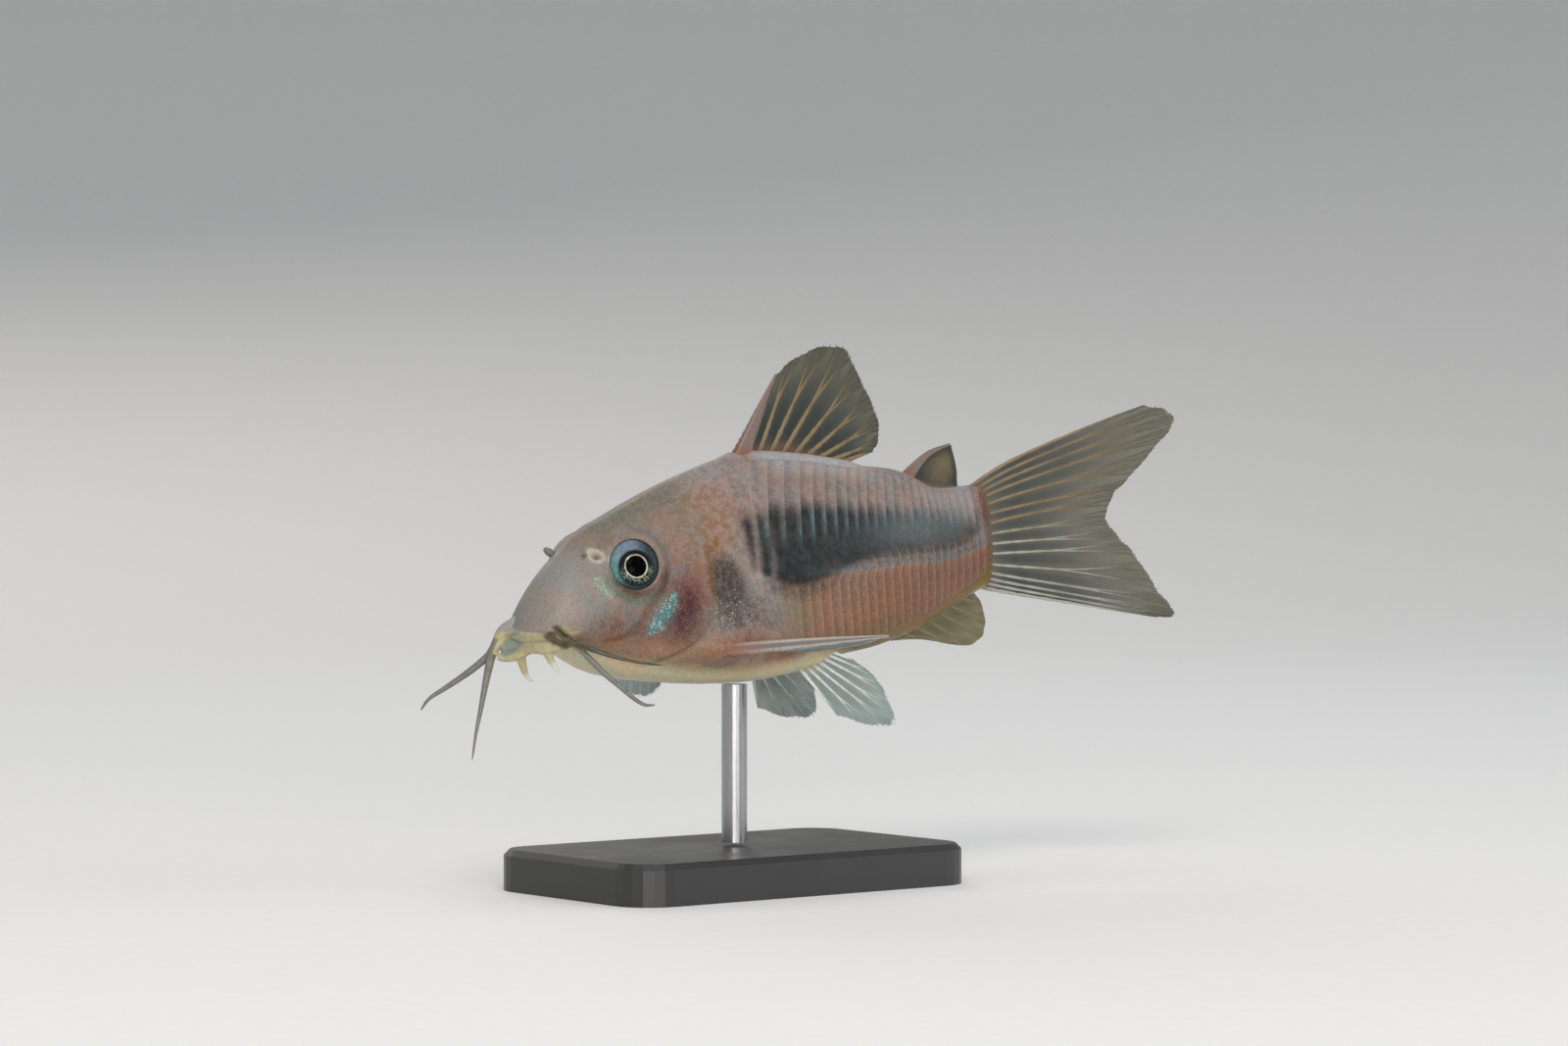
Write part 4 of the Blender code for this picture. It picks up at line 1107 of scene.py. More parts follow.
def make_mouth():
    settings = bpy.context.scene.cory_body
    stubs = [(points[:3], radii[:3]) for points, radii, _ in BARBELS.values()]
    straight, faces = blended(list(MOUTH_PARTS) + stubs, settings.lip_voxel, 14)
    along, across, height = straight.T
    brown = 1 - between(path_distance(straight, NEAR_FLAP[0]), 0.45, 0.9)
    brown = np.maximum(brown * between(-across, 1.8, 2.6), 1 - between(
        path_distance(straight, BARBELS["barbel_upper_left"][0][:3]), 0.2, 0.5))
    # Painted shade of the mouth's hollow, over grey-blue tissue
    hollow = 1 - between(path_distance(straight, MOUTH_HOLLOW), 0.45, 0.85)
    lilac = between(height, -3.8, -3.45) * (1 - 0.4 * between(height, -3.2, -2.8))
    lilac = np.maximum(lilac, 0.9 * (1 - between(path_distance(straight, FAR_EDGE), 0.25, 0.6)))
    lilac = np.maximum(lilac, 0.8 * (1 - between(path_distance(straight, BARBELS["barbel_upper_right"][0][:3]),
                                                 0.25, 0.6)))
    tip = np.minimum(path_distance(straight, NEAR_MENTAL[0][2:]), path_distance(straight, FAR_MENTAL[0][3:]))
    shape = Shape()
    shape.add(pose(straight), faces, straight=straight, brown=brown, hollow=hollow, lilac=lilac,
              snout=between(height, -3.6, -3.0),
              ivory=1 - between(tip, 0.2, 0.9))
    shape.build("lips", lip_skin(), "lip", ("lower_lip", "mental_barbel_left", "mental_barbel_right"))
    for name, (points, radii, tone) in BARBELS.items():
        shape = Shape()
        soft_tube(shape, points, radii, tone=tone)
        shape.build(f"{name}_skin", barbel_skin(), "barbel_skin", (name,))


def make_nostril_flaps():
    """A small upright leaf of skin between the two nostrils of each side."""
    for word, side, rise, radii in (("left", -1.0, 0.5, (0.26, 0.22, 0.09)),
                                    ("right", 1.0, 0.8, (0.34, 0.4, 0.2))):
        shape = Shape()
        root = np.sqrt(5.7)
        share = float(share_at(5.7, 2.1))
        foot = flank(root, share, side)
        out = flank_normal(np.array(root), share, side)
        top = foot + out * rise + np.array([-0.25 * rise, 0.0, 0.1])
        middle = (foot + top) / 2 + np.array([-0.08, 0.0, 0.0])
        soft_tube(shape, (foot - out * 0.15, middle, top), radii, tone=0.2, flatness=0.4 + rise / 2,
                  steps=30, sides=16)
        shape.build(f"nostril_flap_{word}", barbel_skin(), "barbel_skin")


# Eyes

def turned(profile, side, sides=72):
    """Points, faces and radii of a solid turned round an eye's axis from (radius, rise) pairs."""
    centre, outward, sideways, upright = eye_axes(side)
    profile = np.array(profile, float)
    turn = np.linspace(0.0, 2 * math.pi, sides, endpoint=False)
    ring = sideways * np.cos(turn)[:, None] + upright * np.sin(turn)[:, None]
    drop = bpy.context.scene.cory_eyes.pupil_drop * (1 - between(profile[:, 0], 1.3, 2.1))
    points = centre + profile[:, None, 1:2] * outward + profile[:, None, 0:1] * ring[None]
    points = points - drop[:, None, None] * upright
    first = centre + profile[0, 1] * outward - drop[0] * upright
    last = centre + profile[-1, 1] * outward - drop[-1] * upright
    straight = np.concatenate([points.reshape(-1, 3), [first, last]])
    rows = len(profile)
    k = np.arange(sides)
    after = (k + 1) % sides
    wall = grid_faces(rows, sides, wrapped=True)
    caps = [np.stack([after, k, np.full(sides, rows * sides)], -1),
            np.stack([(rows - 1) * sides + k, (rows - 1) * sides + after,
                      np.full(sides, rows * sides + 1)], -1)]
    faces = [wall] + caps
    if side > 0:
        faces = [block[:, ::-1] for block in faces]
    reach = np.concatenate([np.repeat(profile[:, 0], sides), [profile[0, 0], profile[-1, 0]]])
    offset = straight - centre
    around = np.stack([offset @ sideways * -side, offset @ upright, offset @ outward], -1)
    return straight, faces, reach, around


def make_eyes():
    settings = bpy.context.scene.cory_eyes
    ball = settings.ball_radius
    depth = settings.ball_depth
    pupil = settings.pupil_radius
    for word, side in (("left", -1.0), ("right", 1.0)):
        arc = np.linspace(math.radians(-70.0), math.radians(50.0), 40)
        outer = [(ball * math.cos(t), depth * math.sin(t)) for t in arc]
        edge_radius, edge_rise = outer[-1]
        bowl = [(edge_radius + (pupil - edge_radius) * t,
                 edge_rise - 0.06 * math.sin(math.pi * t) + 0.06 * t) for t in np.linspace(0.04, 0.9, 30)]
        hole = [(pupil + 0.02, bowl[-1][1] + 0.01), (pupil - 0.06, bowl[-1][1] - 0.1), (0.2, bowl[-1][1] - 0.12)]
        straight, faces, reach, around = turned([(0.2, depth * math.sin(arc[0]))] + outer + bowl + hole, side)
        shape = Shape()
        shape.add(pose(straight), faces, straight=straight, reach=reach, around=around)
        shape.build(f"eye_ball_{word}", eye_iris(), "eye", (f"eye_{word}",))
        top = bowl[-1][1]
        lens = [(pupil * 0.98 * math.cos(t), top - 0.12 + 0.26 * math.sin(t))
                for t in np.linspace(-0.4, math.pi / 2 - 0.02, 24)]
        straight, faces, reach, around = turned(lens, side)
        shape = Shape()
        shape.add(pose(straight), faces, straight=straight, reach=reach, around=around)
        shape.build(f"eye_pupil_{word}", eye_pupil(), "eye")
        wide = settings.rim_radius - 0.04
        low = 0.6
        dome = [(wide * math.cos(t) ** 0.9, low + (depth + 0.12 - low) * math.sin(t))
                for t in np.linspace(0.0, math.pi / 2 - 0.02, 30)]
        straight, faces, reach, around = turned([(wide * 0.965, low - 0.05), (wide * 0.995, low - 0.01)] + dome, side)
        shape = Shape()
        shape.add(pose(straight), faces, straight=straight, reach=reach, around=around)
        shape.build(f"eye_cornea_{word}", eye_cornea(), "eye")
        rim = settings.rim_radius
        turn = np.linspace(0.0, 2 * math.pi, 16, endpoint=False)
        ring_shape(f"eye_rim_{word}", side, rim + 0.02, 0.72, 0.13, turn)


def ring_shape(name, side, radius, rise, thickness, turn):
    """A soft ring of skin round one eye."""
    centre, outward, sideways, upright = eye_axes(side)
    sides = 96
    around = np.linspace(0.0, 2 * math.pi, sides, endpoint=False)
    arm = sideways * np.cos(around)[:, None] + upright * np.sin(around)[:, None]
    reach = radius + thickness * np.cos(turn)
    lift = rise + thickness * 0.8 * np.sin(turn)
    straight = centre + arm[:, None] * reach[None, :, None] + outward * lift[None, :, None]
    faces = []
    for i in range(sides):
        for j in range(len(turn)):
            after_i = (i + 1) % sides
            after_j = (j + 1) % len(turn)
            quad = (i * len(turn) + j, after_i * len(turn) + j, after_i * len(turn) + after_j,
                    i * len(turn) + after_j)
            faces.append(quad if side > 0 else quad[::-1])
    flat = straight.reshape(-1, 3)
    share = share_at(flat[:, 0], flat[:, 2])
    shape = Shape()
    shape.add(pose(flat), [np.array(faces)], straight=flat, **markings(flat, share))
    shape.build(name, fish_skin(), "skin")


# Materials

MADE = {}


def node(tree, kind, settings=None, inputs=None):
    """One node with its settings, and its inputs given as values or as sockets to link."""
    made = tree.nodes.new(kind)
    for key, value in (settings or {}).items():
        setattr(made, key, value)
    for key, value in (inputs or {}).items():
        if isinstance(value, bpy.types.NodeSocket):
            tree.links.new(value, made.inputs[key])
        else:
            made.inputs[key].default_value = value
    return made


def fresh(name):
    """An empty material, or the one of that name if it is already made."""
    if name in MADE:
        return MADE[name], None
    made = bpy.data.materials.new(name)
    made.use_nodes = True
    made.node_tree.nodes.clear()
    MADE[name] = made
    return made, made.node_tree


def value_of(tree, name):
    """The per-point value of that name."""
    return node(tree, "ShaderNodeAttribute", {"attribute_name": name}).outputs["Fac"]


def place_of(tree):
    """The straight place of a point, in millimetres."""
    return node(tree, "ShaderNodeAttribute", {"attribute_name": "straight"}).outputs["Vector"]


def mathed(tree, operation, first, second, clamp=False):
    return node(tree, "ShaderNodeMath", {"operation": operation, "use_clamp": clamp},
                {0: first, 1: second}).outputs[0]


def mixed(tree, factor, first, second, blend="MIX"):
    """Two colours mixed by a factor."""
    made = node(tree, "ShaderNodeMix", {"data_type": "RGBA", "blend_type": blend},
                {0: factor, 6: first, 7: second})
    return made.outputs[2]


def ranged(tree, value, low, high, to_low=0.0, to_high=1.0):
    """A value carried from one range to another, softly."""
    return node(tree, "ShaderNodeMapRange", {"interpolation_type": "SMOOTHSTEP"},
                {"Value": value, "From Min": low, "From Max": high, "To Min": to_low,
                 "To Max": to_high}).outputs["Result"]


# Marking, colour setting, strength, and how much a patchy noise breaks it up
SKIN_LAYERS = (
    ("head", "head", 0.85, 0.25),
    ("snout", "snout", 0.8, 0.2),
    ("crown", "crown", 0.7, 0.3),
    ("nape", "nape", 0.7, 0.6),
    ("salmon", "salmon", 0.9, 0.15),
    ("salmon_tail", "salmon_tail", 0.65, 0.3),
    ("cheek", "cheek", 0.8, 0.4),
    ("greenish", "greenish", 0.5, 0.3),
    ("yellow", "yellow", 0.85, 0.3),
    ("peach", "peach", 0.55, 0.4),
    ("cover_flush", "cover_flush", 0.6, 0.4),
    ("cream", "cream", 0.92, 0.15),
    ("back_shade", "back_dark", 0.6, 0.3),
    # Painted highlight on the top of the back
    ("back_light", "back_light", 0.85, 0.4),
    ("under_band", "under_band", 0.75, 0.4),
    ("band", "band", 0.97, 0.08),
    # Painted sheen on the band
    ("sheen", "sheen", 0.7, 0.2),
    ("seam_shadow", "seam_shadow", 0.85, 0.15),
    ("seam", "seam", 0.7, 0.2),
    ("gill_shade", "gill_shade", 0.85, 0.25),
    ("speckle", "speckle", 0.75, 0.4),
    ("pale_arc", "pale_arc", 0.5, 0.4),
    ("gold", "gold", 0.75, 0.3),
    ("maroon", "maroon", 0.95, 0.25),
    ("crease", "crease", 0.7, 0.2),
    ("crescent", "crescent", 0.85, 0.15),
    ("glow", "glow", 0.75, 0.25),
    ("streak", "streak", 0.6, 0.3),
    ("glint", "glint", 0.75, 0.4),
    ("teal", "teal", 0.92, 0.35),
    ("shoulder", "shoulder", 0.7, 0.5),
    ("flush", "flush", 0.7, 0.3),
    ("tail_yellow", "yellow", 0.7, 0.3),
    ("lip", "lip", 0.9, 0.1),
    ("lip_line", "lip_line", 0.8, 0.1),
    ("mouth_edge", "mouth_edge", 0.7, 0.1),
    ("groove_shade", "groove_shade", 0.85, 0.1),
    ("nostril", "nostril", 0.8, 0.1),
    ("pit_shade", "groove_shade", 0.4, 0.0),
    ("join", "tail_root", 0.92, 0.15),
    ("tail_threads", "tail_thread", 0.5, 0.2),
    ("tail_flush", "tail_flush", 0.9, 0.3),
)


def skin_tree(tree, plates):
    """Layered markings, among them painted shade and painted highlights, fine pigment specks and flecks of reflecting
    crystal over moist skin.
    """
    colours = bpy.context.scene.cory_colours
    place = place_of(tree)
    patchy = node(tree, "ShaderNodeTexNoise", {}, {"Vector": place, "Scale": 1 / 0.6, "Detail": 4.0,
                                                   "Roughness": 0.6}).outputs["Fac"]
    patchy = ranged(tree, patchy, 0.32, 0.68)
    shade = mixed(tree, patchy, colours.back, colours.back_dark)
    for mark, name, strength, broken in SKIN_LAYERS:
        amount = value_of(tree, mark)
        if broken:
            hold = ranged(tree, patchy, 0.0, 1.0, 1.0 - broken, 1.0)
            amount = mathed(tree, "MULTIPLY", amount, hold)
        amount = mathed(tree, "MULTIPLY", amount, strength)
        shade = mixed(tree, amount, shade, getattr(colours, name))
    if plates:
        rim = value_of(tree, "rim")
        band = value_of(tree, "band")
        # Rear edges of the plates: paler bone, brightened as painted highlight, most in the band and in the painted
        # sheen; towards the top of the band they take a painted glint
        edge = ranged(tree, rim, 0.72, 0.98)
        wide_edge = ranged(tree, rim, 0.66, 0.95)
        edge = mathed(tree, "MAXIMUM", edge, mathed(tree, "MULTIPLY", wide_edge, band))
        edge = mathed(tree, "MULTIPLY", edge, ranged(tree, value_of(tree, "sheen"), 0.0, 1.0, 1.0, 1.5))
        pale = mixed(tree, band, colours.rim_flank, colours.rim_band)
        high = ranged(tree, node(tree, "ShaderNodeSeparateXYZ", {}, {"Vector": place}).outputs["Z"], 0.2, 2.6)
        pale = mixed(tree, mathed(tree, "MULTIPLY", band, high), pale, colours.rim_glint)
        amount = mathed(tree, "MULTIPLY", edge, ranged(tree, patchy, 0.0, 1.0, 0.14, 0.44))
        shade = mixed(tree, amount, shade, pale)
        # Painted shadow on the front part of each plate, under the rim that overlaps it, weaker in the dark band
        shadow_under_rim = mathed(tree, "MULTIPLY", ranged(tree, rim, 0.75, 0.4, 0.0, 0.28), ranged(tree, band, 0.0, 1.0, 1.0, 0.15))
        shade = mixed(tree, shadow_under_rim, shade, colours.plate_shadow)
    mottled = node(tree, "ShaderNodeTexNoise", {}, {"Vector": place, "Scale": 1 / 0.32, "Detail": 2.0,
                                                    "Roughness": 0.6}).outputs["Fac"]
    shade = mixed(tree, 1.0, shade, ranged(tree, mottled, 0.36, 0.64, 1.05, 0.94), "MULTIPLY")
    cloud = node(tree, "ShaderNodeTexNoise", {}, {"Vector": place, "Scale": 1 / 2.4, "Detail": 2.0}).outputs["Fac"]
    tint = mixed(tree, ranged(tree, cloud, 0.4, 0.6), colours.tint_warm, colours.tint_cool)
    shade = mixed(tree, 1.0, shade, tint, "MULTIPLY")
    # Pigment cells are about 0.05 mm across; they are drawn at 0.16 mm so that they show
    specks = node(tree, "ShaderNodeTexNoise", {}, {"Vector": place, "Scale": 1 / 0.16, "Detail": 2.0,
                                                   "Roughness": 0.7}).outputs["Fac"]
    shade = mixed(tree, 1.0, shade, ranged(tree, specks, 0.56, 0.7, 1.0, 0.72), "MULTIPLY")
    light_specks = ranged(tree, specks, 0.44, 0.3, 0.0, 0.3)
    light_specks = mathed(tree, "MULTIPLY", light_specks, ranged(tree, value_of(tree, "band"), 0.0, 1.0, 1.0, 0.1))
    shade = mixed(tree, light_specks, shade, colours.fleck)
    # Reflecting crystals are a few hundredths of a millimetre; they are drawn at 0.14 mm
    crystals = node(tree, "ShaderNodeTexVoronoi", {"feature": "F1"},
                    {"Vector": place, "Scale": 1 / 0.14, "Randomness": 1.0})
    chosen = ranged(tree, crystals.outputs["Color"], mathed(tree, "SUBTRACT", 0.62, mathed(
        tree, "MULTIPLY", value_of(tree, "teal"), 0.2)), 0.8)
    spot = ranged(tree, crystals.outputs["Distance"], 0.55, 0.2)
    glitter = mathed(tree, "MULTIPLY", chosen, spot)
    zone = mathed(tree, "ADD", value_of(tree, "teal"), mathed(tree, "MULTIPLY", value_of(tree, "speckle"), 0.36))
    zone = mathed(tree, "ADD", zone, mathed(tree, "MULTIPLY", value_of(tree, "glint"), 0.8))
    zone = mathed(tree, "ADD", zone, mathed(tree, "MULTIPLY", value_of(tree, "sheen"), 0.06), clamp=True)
    glitter = mathed(tree, "MULTIPLY", glitter, zone)
    shade = mixed(tree, glitter, shade, colours.glitter)
    rough = ranged(tree, specks, 0.3, 0.7, 0.36, 0.52)
    rough = mathed(tree, "SUBTRACT", rough, mathed(tree, "MULTIPLY", glitter, 0.2))
    grain = node(tree, "ShaderNodeTexNoise", {}, {"Vector": place, "Scale": 1 / 0.22, "Detail": 3.0,
                                                  "Roughness": 0.6}).outputs["Fac"]
    raised = node(tree, "ShaderNodeBump", {}, {"Strength": 0.35, "Distance": 0.00006,
                                               "Height": grain}).outputs["Normal"]
    surface = node(tree, "ShaderNodeBsdfPrincipled", {}, {
        "Base Color": shade, "Roughness": rough, "IOR": 1.4, "Normal": raised,
        "Subsurface Weight": 0.08, "Subsurface Radius": (1.0, 0.45, 0.3), "Subsurface Scale": 0.0004,
        "Specular IOR Level": 0.2, "Coat Weight": 0.08, "Coat Roughness": 0.2,
        "Metallic": mathed(tree, "MULTIPLY", glitter, 0.5),
    })
    node(tree, "ShaderNodeOutputMaterial", {}, {"Surface": surface.outputs[0]})


def fish_skin():
    """Moist living skin: satin, a little light passes under it, with specks of pigment."""
    made, tree = fresh("moist scaleless skin")
    if tree:
        skin_tree(tree, plates=False)
    return made


def plate_finish():
    """Thin skin over bony plates: the same colours, with paler, harder rear edges brightened by painted highlight,
    and painted shadow on the front part of each plate.
    """
    made, tree = fresh("skin over bony plates")
    if tree:
        skin_tree(tree, plates=True)
    return made


def fin_tree(tree, web, web_dark, ray, ray_low, root, solid):
    """Clear skin stained between the rays, with the rays showing as bony threads."""
    place = place_of(tree)
    reach = value_of(tree, "reach")
    cloudy = node(tree, "ShaderNodeTexNoise", {}, {"Vector": place, "Scale": 1 / 0.7, "Detail": 3.0,
                                                   "Roughness": 0.6}).outputs["Fac"]
    cloudy = ranged(tree, cloudy, 0.35, 0.65)
    gap = value_of(tree, "between_rays")
    threads = mathed(tree, "SINE", mathed(tree, "MULTIPLY", gap, 15.0), 0.0)
    stain = mathed(tree, "MULTIPLY", ranged(tree, gap, 0.35, 0.9), ranged(tree, reach, 0.02, 0.25))
    stain = mathed(tree, "MULTIPLY", stain, ranged(tree, threads, -1.0, 1.0, 0.7, 1.0))
    stain = mathed(tree, "MULTIPLY", stain, ranged(tree, reach, 0.95, 0.5))
    stain = mathed(tree, "MULTIPLY", stain, ranged(tree, cloudy, 0.0, 1.0, 0.85, 1.0))
    shade = mixed(tree, stain, web, web_dark)
    low = ranged(tree, value_of(tree, "low"), 0.0, 1.0)
    threads = mixed(tree, low, ray, ray_low)
    threads = mixed(tree, ranged(tree, reach, 0.6, 1.0), threads, web)
    shade = mixed(tree, mathed(tree, "MULTIPLY", value_of(tree, "ray"), 0.7), shade, threads)
    shade = mixed(tree, ranged(tree, reach, 0.17, 0.0, 0.0, 0.75), shade, root)
    # Melanin specks of the fin skin, drawn at 0.15 mm so that they show
    specks = node(tree, "ShaderNodeTexNoise", {}, {"Vector": place, "Scale": 1 / 0.15, "Detail": 1.0})
    shade = mixed(tree, ranged(tree, specks.outputs["Fac"], 0.55, 0.7, 0.0, 0.15), shade, web_dark)
    cover = ranged(tree, reach, 0.0, 1.0, solid, solid - 0.12)
    cover = mathed(tree, "ADD", cover, mathed(tree, "MULTIPLY", value_of(tree, "ray"), 0.3), clamp=True)
    raised = node(tree, "ShaderNodeBump", {}, {"Strength": 0.3, "Distance": 0.00004,
                                               "Height": specks.outputs["Fac"]}).outputs["Normal"]
    surface = node(tree, "ShaderNodeBsdfPrincipled", {}, {
        "Base Color": shade, "Roughness": 0.38, "IOR": 1.4, "Alpha": cover, "Normal": raised,
        "Specular IOR Level": 0.35, "Coat Weight": 0.1, "Coat Roughness": 0.2,
        "Subsurface Weight": 0.3, "Subsurface Radius": (1.0, 0.9, 0.8), "Subsurface Scale": 0.0006,
    })
    node(tree, "ShaderNodeOutputMaterial", {}, {"Surface": surface.outputs[0]})


def fin_skin(name, words, solid):
    """Glossy fin skin in the colours of those words, partly see-through."""
    colours = bpy.context.scene.cory_colours
    made, tree = fresh(name)
    if tree:
        fin_tree(tree, *(getattr(colours, word) for word in words), solid)
    return made


def dusky_fin():
    """Smoky fin skin between orange-brown rays: glossy and partly see-through."""
    return fin_skin("dusky fin skin", ("fin_web", "fin_stain", "fin_ray", "fin_ray", "fin_root"), 0.95)


def tail_fin():
    """Grey fin skin with blue-black streaks, orange rays above and whitish rays below."""
    return fin_skin("grey fin skin", ("tail_web", "tail_stain", "tail_ray", "tail_ray_low", "tail_root"), 0.95)


def olive_fin():
    """Olive fin skin, thick and glossy, partly see-through."""
    return fin_skin("olive fin skin", ("olive_web", "olive_stain", "olive_ray", "olive_ray", "olive_root"), 0.94)


def adipose_skin():
    """Dark olive fin skin, thick and glossy."""
    return fin_skin("dark olive fin skin", ("adipose_web", "olive_stain", "olive_ray", "olive_ray", "olive_root"),
                    0.95)


def pale_fin():
    """Whitish fin skin between pale rays: glossy and partly see-through."""
    return fin_skin("pale fin skin", ("pale_web", "pale_stain", "pale_ray", "pale_ray", "pale_root"), 0.86)


def spine_bone():
    """Bone under thin skin: whitish edges, a grey-violet groove and fine cross lines."""
    colours = bpy.context.scene.cory_colours
    made, tree = fresh("fin spine bone")
    if not tree:
        return made
    place = place_of(tree)
    flesh = value_of(tree, "flesh")
    groove = ranged(tree, value_of(tree, "groove"), 0.75, 0.98)
    groove = mathed(tree, "MULTIPLY", groove, ranged(tree, flesh, 0.0, 1.0, 1.0, 0.15))
    bone = mixed(tree, flesh, colours.bone, colours.spine_flesh)
    shade = mixed(tree, groove, bone, colours.bone_groove)
    lines = node(tree, "ShaderNodeTexNoise", {}, {"Vector": place, "Scale": 1 / 0.2, "Detail": 2.0})
    shade = mixed(tree, ranged(tree, lines.outputs["Fac"], 0.5, 0.7, 0.0, 0.4), shade, colours.bone_groove)
    shade = mixed(tree, mathed(tree, "MULTIPLY", value_of(tree, "covered"), 0.9), shade, colours.shoulder)
    raised = node(tree, "ShaderNodeBump", {}, {"Strength": 0.4, "Distance": 0.00005,
                                               "Height": lines.outputs["Fac"]}).outputs["Normal"]
    surface = node(tree, "ShaderNodeBsdfPrincipled", {}, {
        "Base Color": shade, "Roughness": 0.42, "IOR": 1.5, "Normal": raised,
        "Subsurface Weight": 0.1, "Subsurface Radius": (1.0, 0.6, 0.4), "Subsurface Scale": 0.0004,
    })
    node(tree, "ShaderNodeOutputMaterial", {}, {"Surface": surface.outputs[0]})
    return made


def soft_tree(tree, pale, dark, tip):
    """Soft flesh, paler above, that changes towards its tip."""
    place = place_of(tree)
    cloudy = node(tree, "ShaderNodeTexNoise", {}, {"Vector": place, "Scale": 1 / 0.5, "Detail": 3.0})
    shade = mixed(tree, value_of(tree, "tone"), pale, dark)
    grey = mathed(tree, "MULTIPLY", ranged(tree, value_of(tree, "reach"), -0.3, 0.5, 0.0, 0.85),
                  ranged(tree, value_of(tree, "tone"), 0.2, 1.0, 1.0, 0.1))
    shade = mixed(tree, grey, shade, tip)
    shade = mixed(tree, ranged(tree, value_of(tree, "upper"), 0.1, -0.9, 0.0, 0.25), shade, pale)
    shade = mixed(tree, ranged(tree, cloudy.outputs["Fac"], 0.45, 0.65, 0.0, 0.2), shade, dark)
    fine = node(tree, "ShaderNodeTexNoise", {}, {"Vector": place, "Scale": 1 / 0.14, "Detail": 1.0})
    raised = node(tree, "ShaderNodeBump", {}, {"Strength": 0.3, "Distance": 0.00004,
                                               "Height": fine.outputs["Fac"]}).outputs["Normal"]
    surface = node(tree, "ShaderNodeBsdfPrincipled", {}, {
        "Base Color": shade, "Roughness": 0.4, "IOR": 1.4, "Normal": raised,
        "Subsurface Weight": 0.2, "Subsurface Radius": (1.0, 0.5, 0.3), "Subsurface Scale": 0.0006,
        "Coat Weight": 0.25, "Coat Roughness": 0.2,
    })
    node(tree, "ShaderNodeOutputMaterial", {}, {"Surface": surface.outputs[0]})


def lip_skin():
    """Cream lip flesh, soft and moist, brownish at the corner and grey-blue with painted shade in its hollow."""
    colours = bpy.context.scene.cory_colours
    made, tree = fresh("soft lip flesh")
    if not tree:
        return made
    place = place_of(tree)
    cloudy = node(tree, "ShaderNodeTexNoise", {}, {"Vector": place, "Scale": 1 / 0.5, "Detail": 3.0})
    shade = mixed(tree, ranged(tree, cloudy.outputs["Fac"], 0.4, 0.65, 0.0, 0.5), colours.lip, colours.mouth_edge)
    shade = mixed(tree, mathed(tree, "MULTIPLY", value_of(tree, "ivory"), 0.6), shade, colours.pale_ray)
    # Grey-blue tissue with painted shade in the mouth's hollow
    shade = mixed(tree, mathed(tree, "MULTIPLY", value_of(tree, "hollow"), 0.85), shade, colours.hollow_tissue_and_shade)
    shade = mixed(tree, mathed(tree, "MULTIPLY", value_of(tree, "lilac"), 0.7), shade, colours.lip_line)
    shade = mixed(tree, mathed(tree, "MULTIPLY", value_of(tree, "brown"), 0.9), shade, colours.lip_dark)
    shade = mixed(tree, value_of(tree, "snout"), shade, colours.snout)
    fine = node(tree, "ShaderNodeTexNoise", {}, {"Vector": place, "Scale": 1 / 0.14, "Detail": 1.0})
    raised = node(tree, "ShaderNodeBump", {}, {"Strength": 0.3, "Distance": 0.00004,
                                               "Height": fine.outputs["Fac"]}).outputs["Normal"]
    surface = node(tree, "ShaderNodeBsdfPrincipled", {}, {
        "Base Color": shade, "Roughness": 0.4, "IOR": 1.4, "Normal": raised,
        "Subsurface Weight": 0.25, "Subsurface Radius": (1.0, 0.5, 0.3), "Subsurface Scale": 0.0006,
        "Coat Weight": 0.2, "Coat Roughness": 0.2,
    })
    node(tree, "ShaderNodeOutputMaterial", {}, {"Surface": surface.outputs[0]})
    return made


def barbel_skin():
    """Grey barbel flesh with a pale upper edge, soft and moist."""
    colours = bpy.context.scene.cory_colours
    made, tree = fresh("soft barbel flesh")
    if tree:
        soft_tree(tree, colours.barbel_pale, colours.barbel_dark, colours.barbel_tip)
    return made


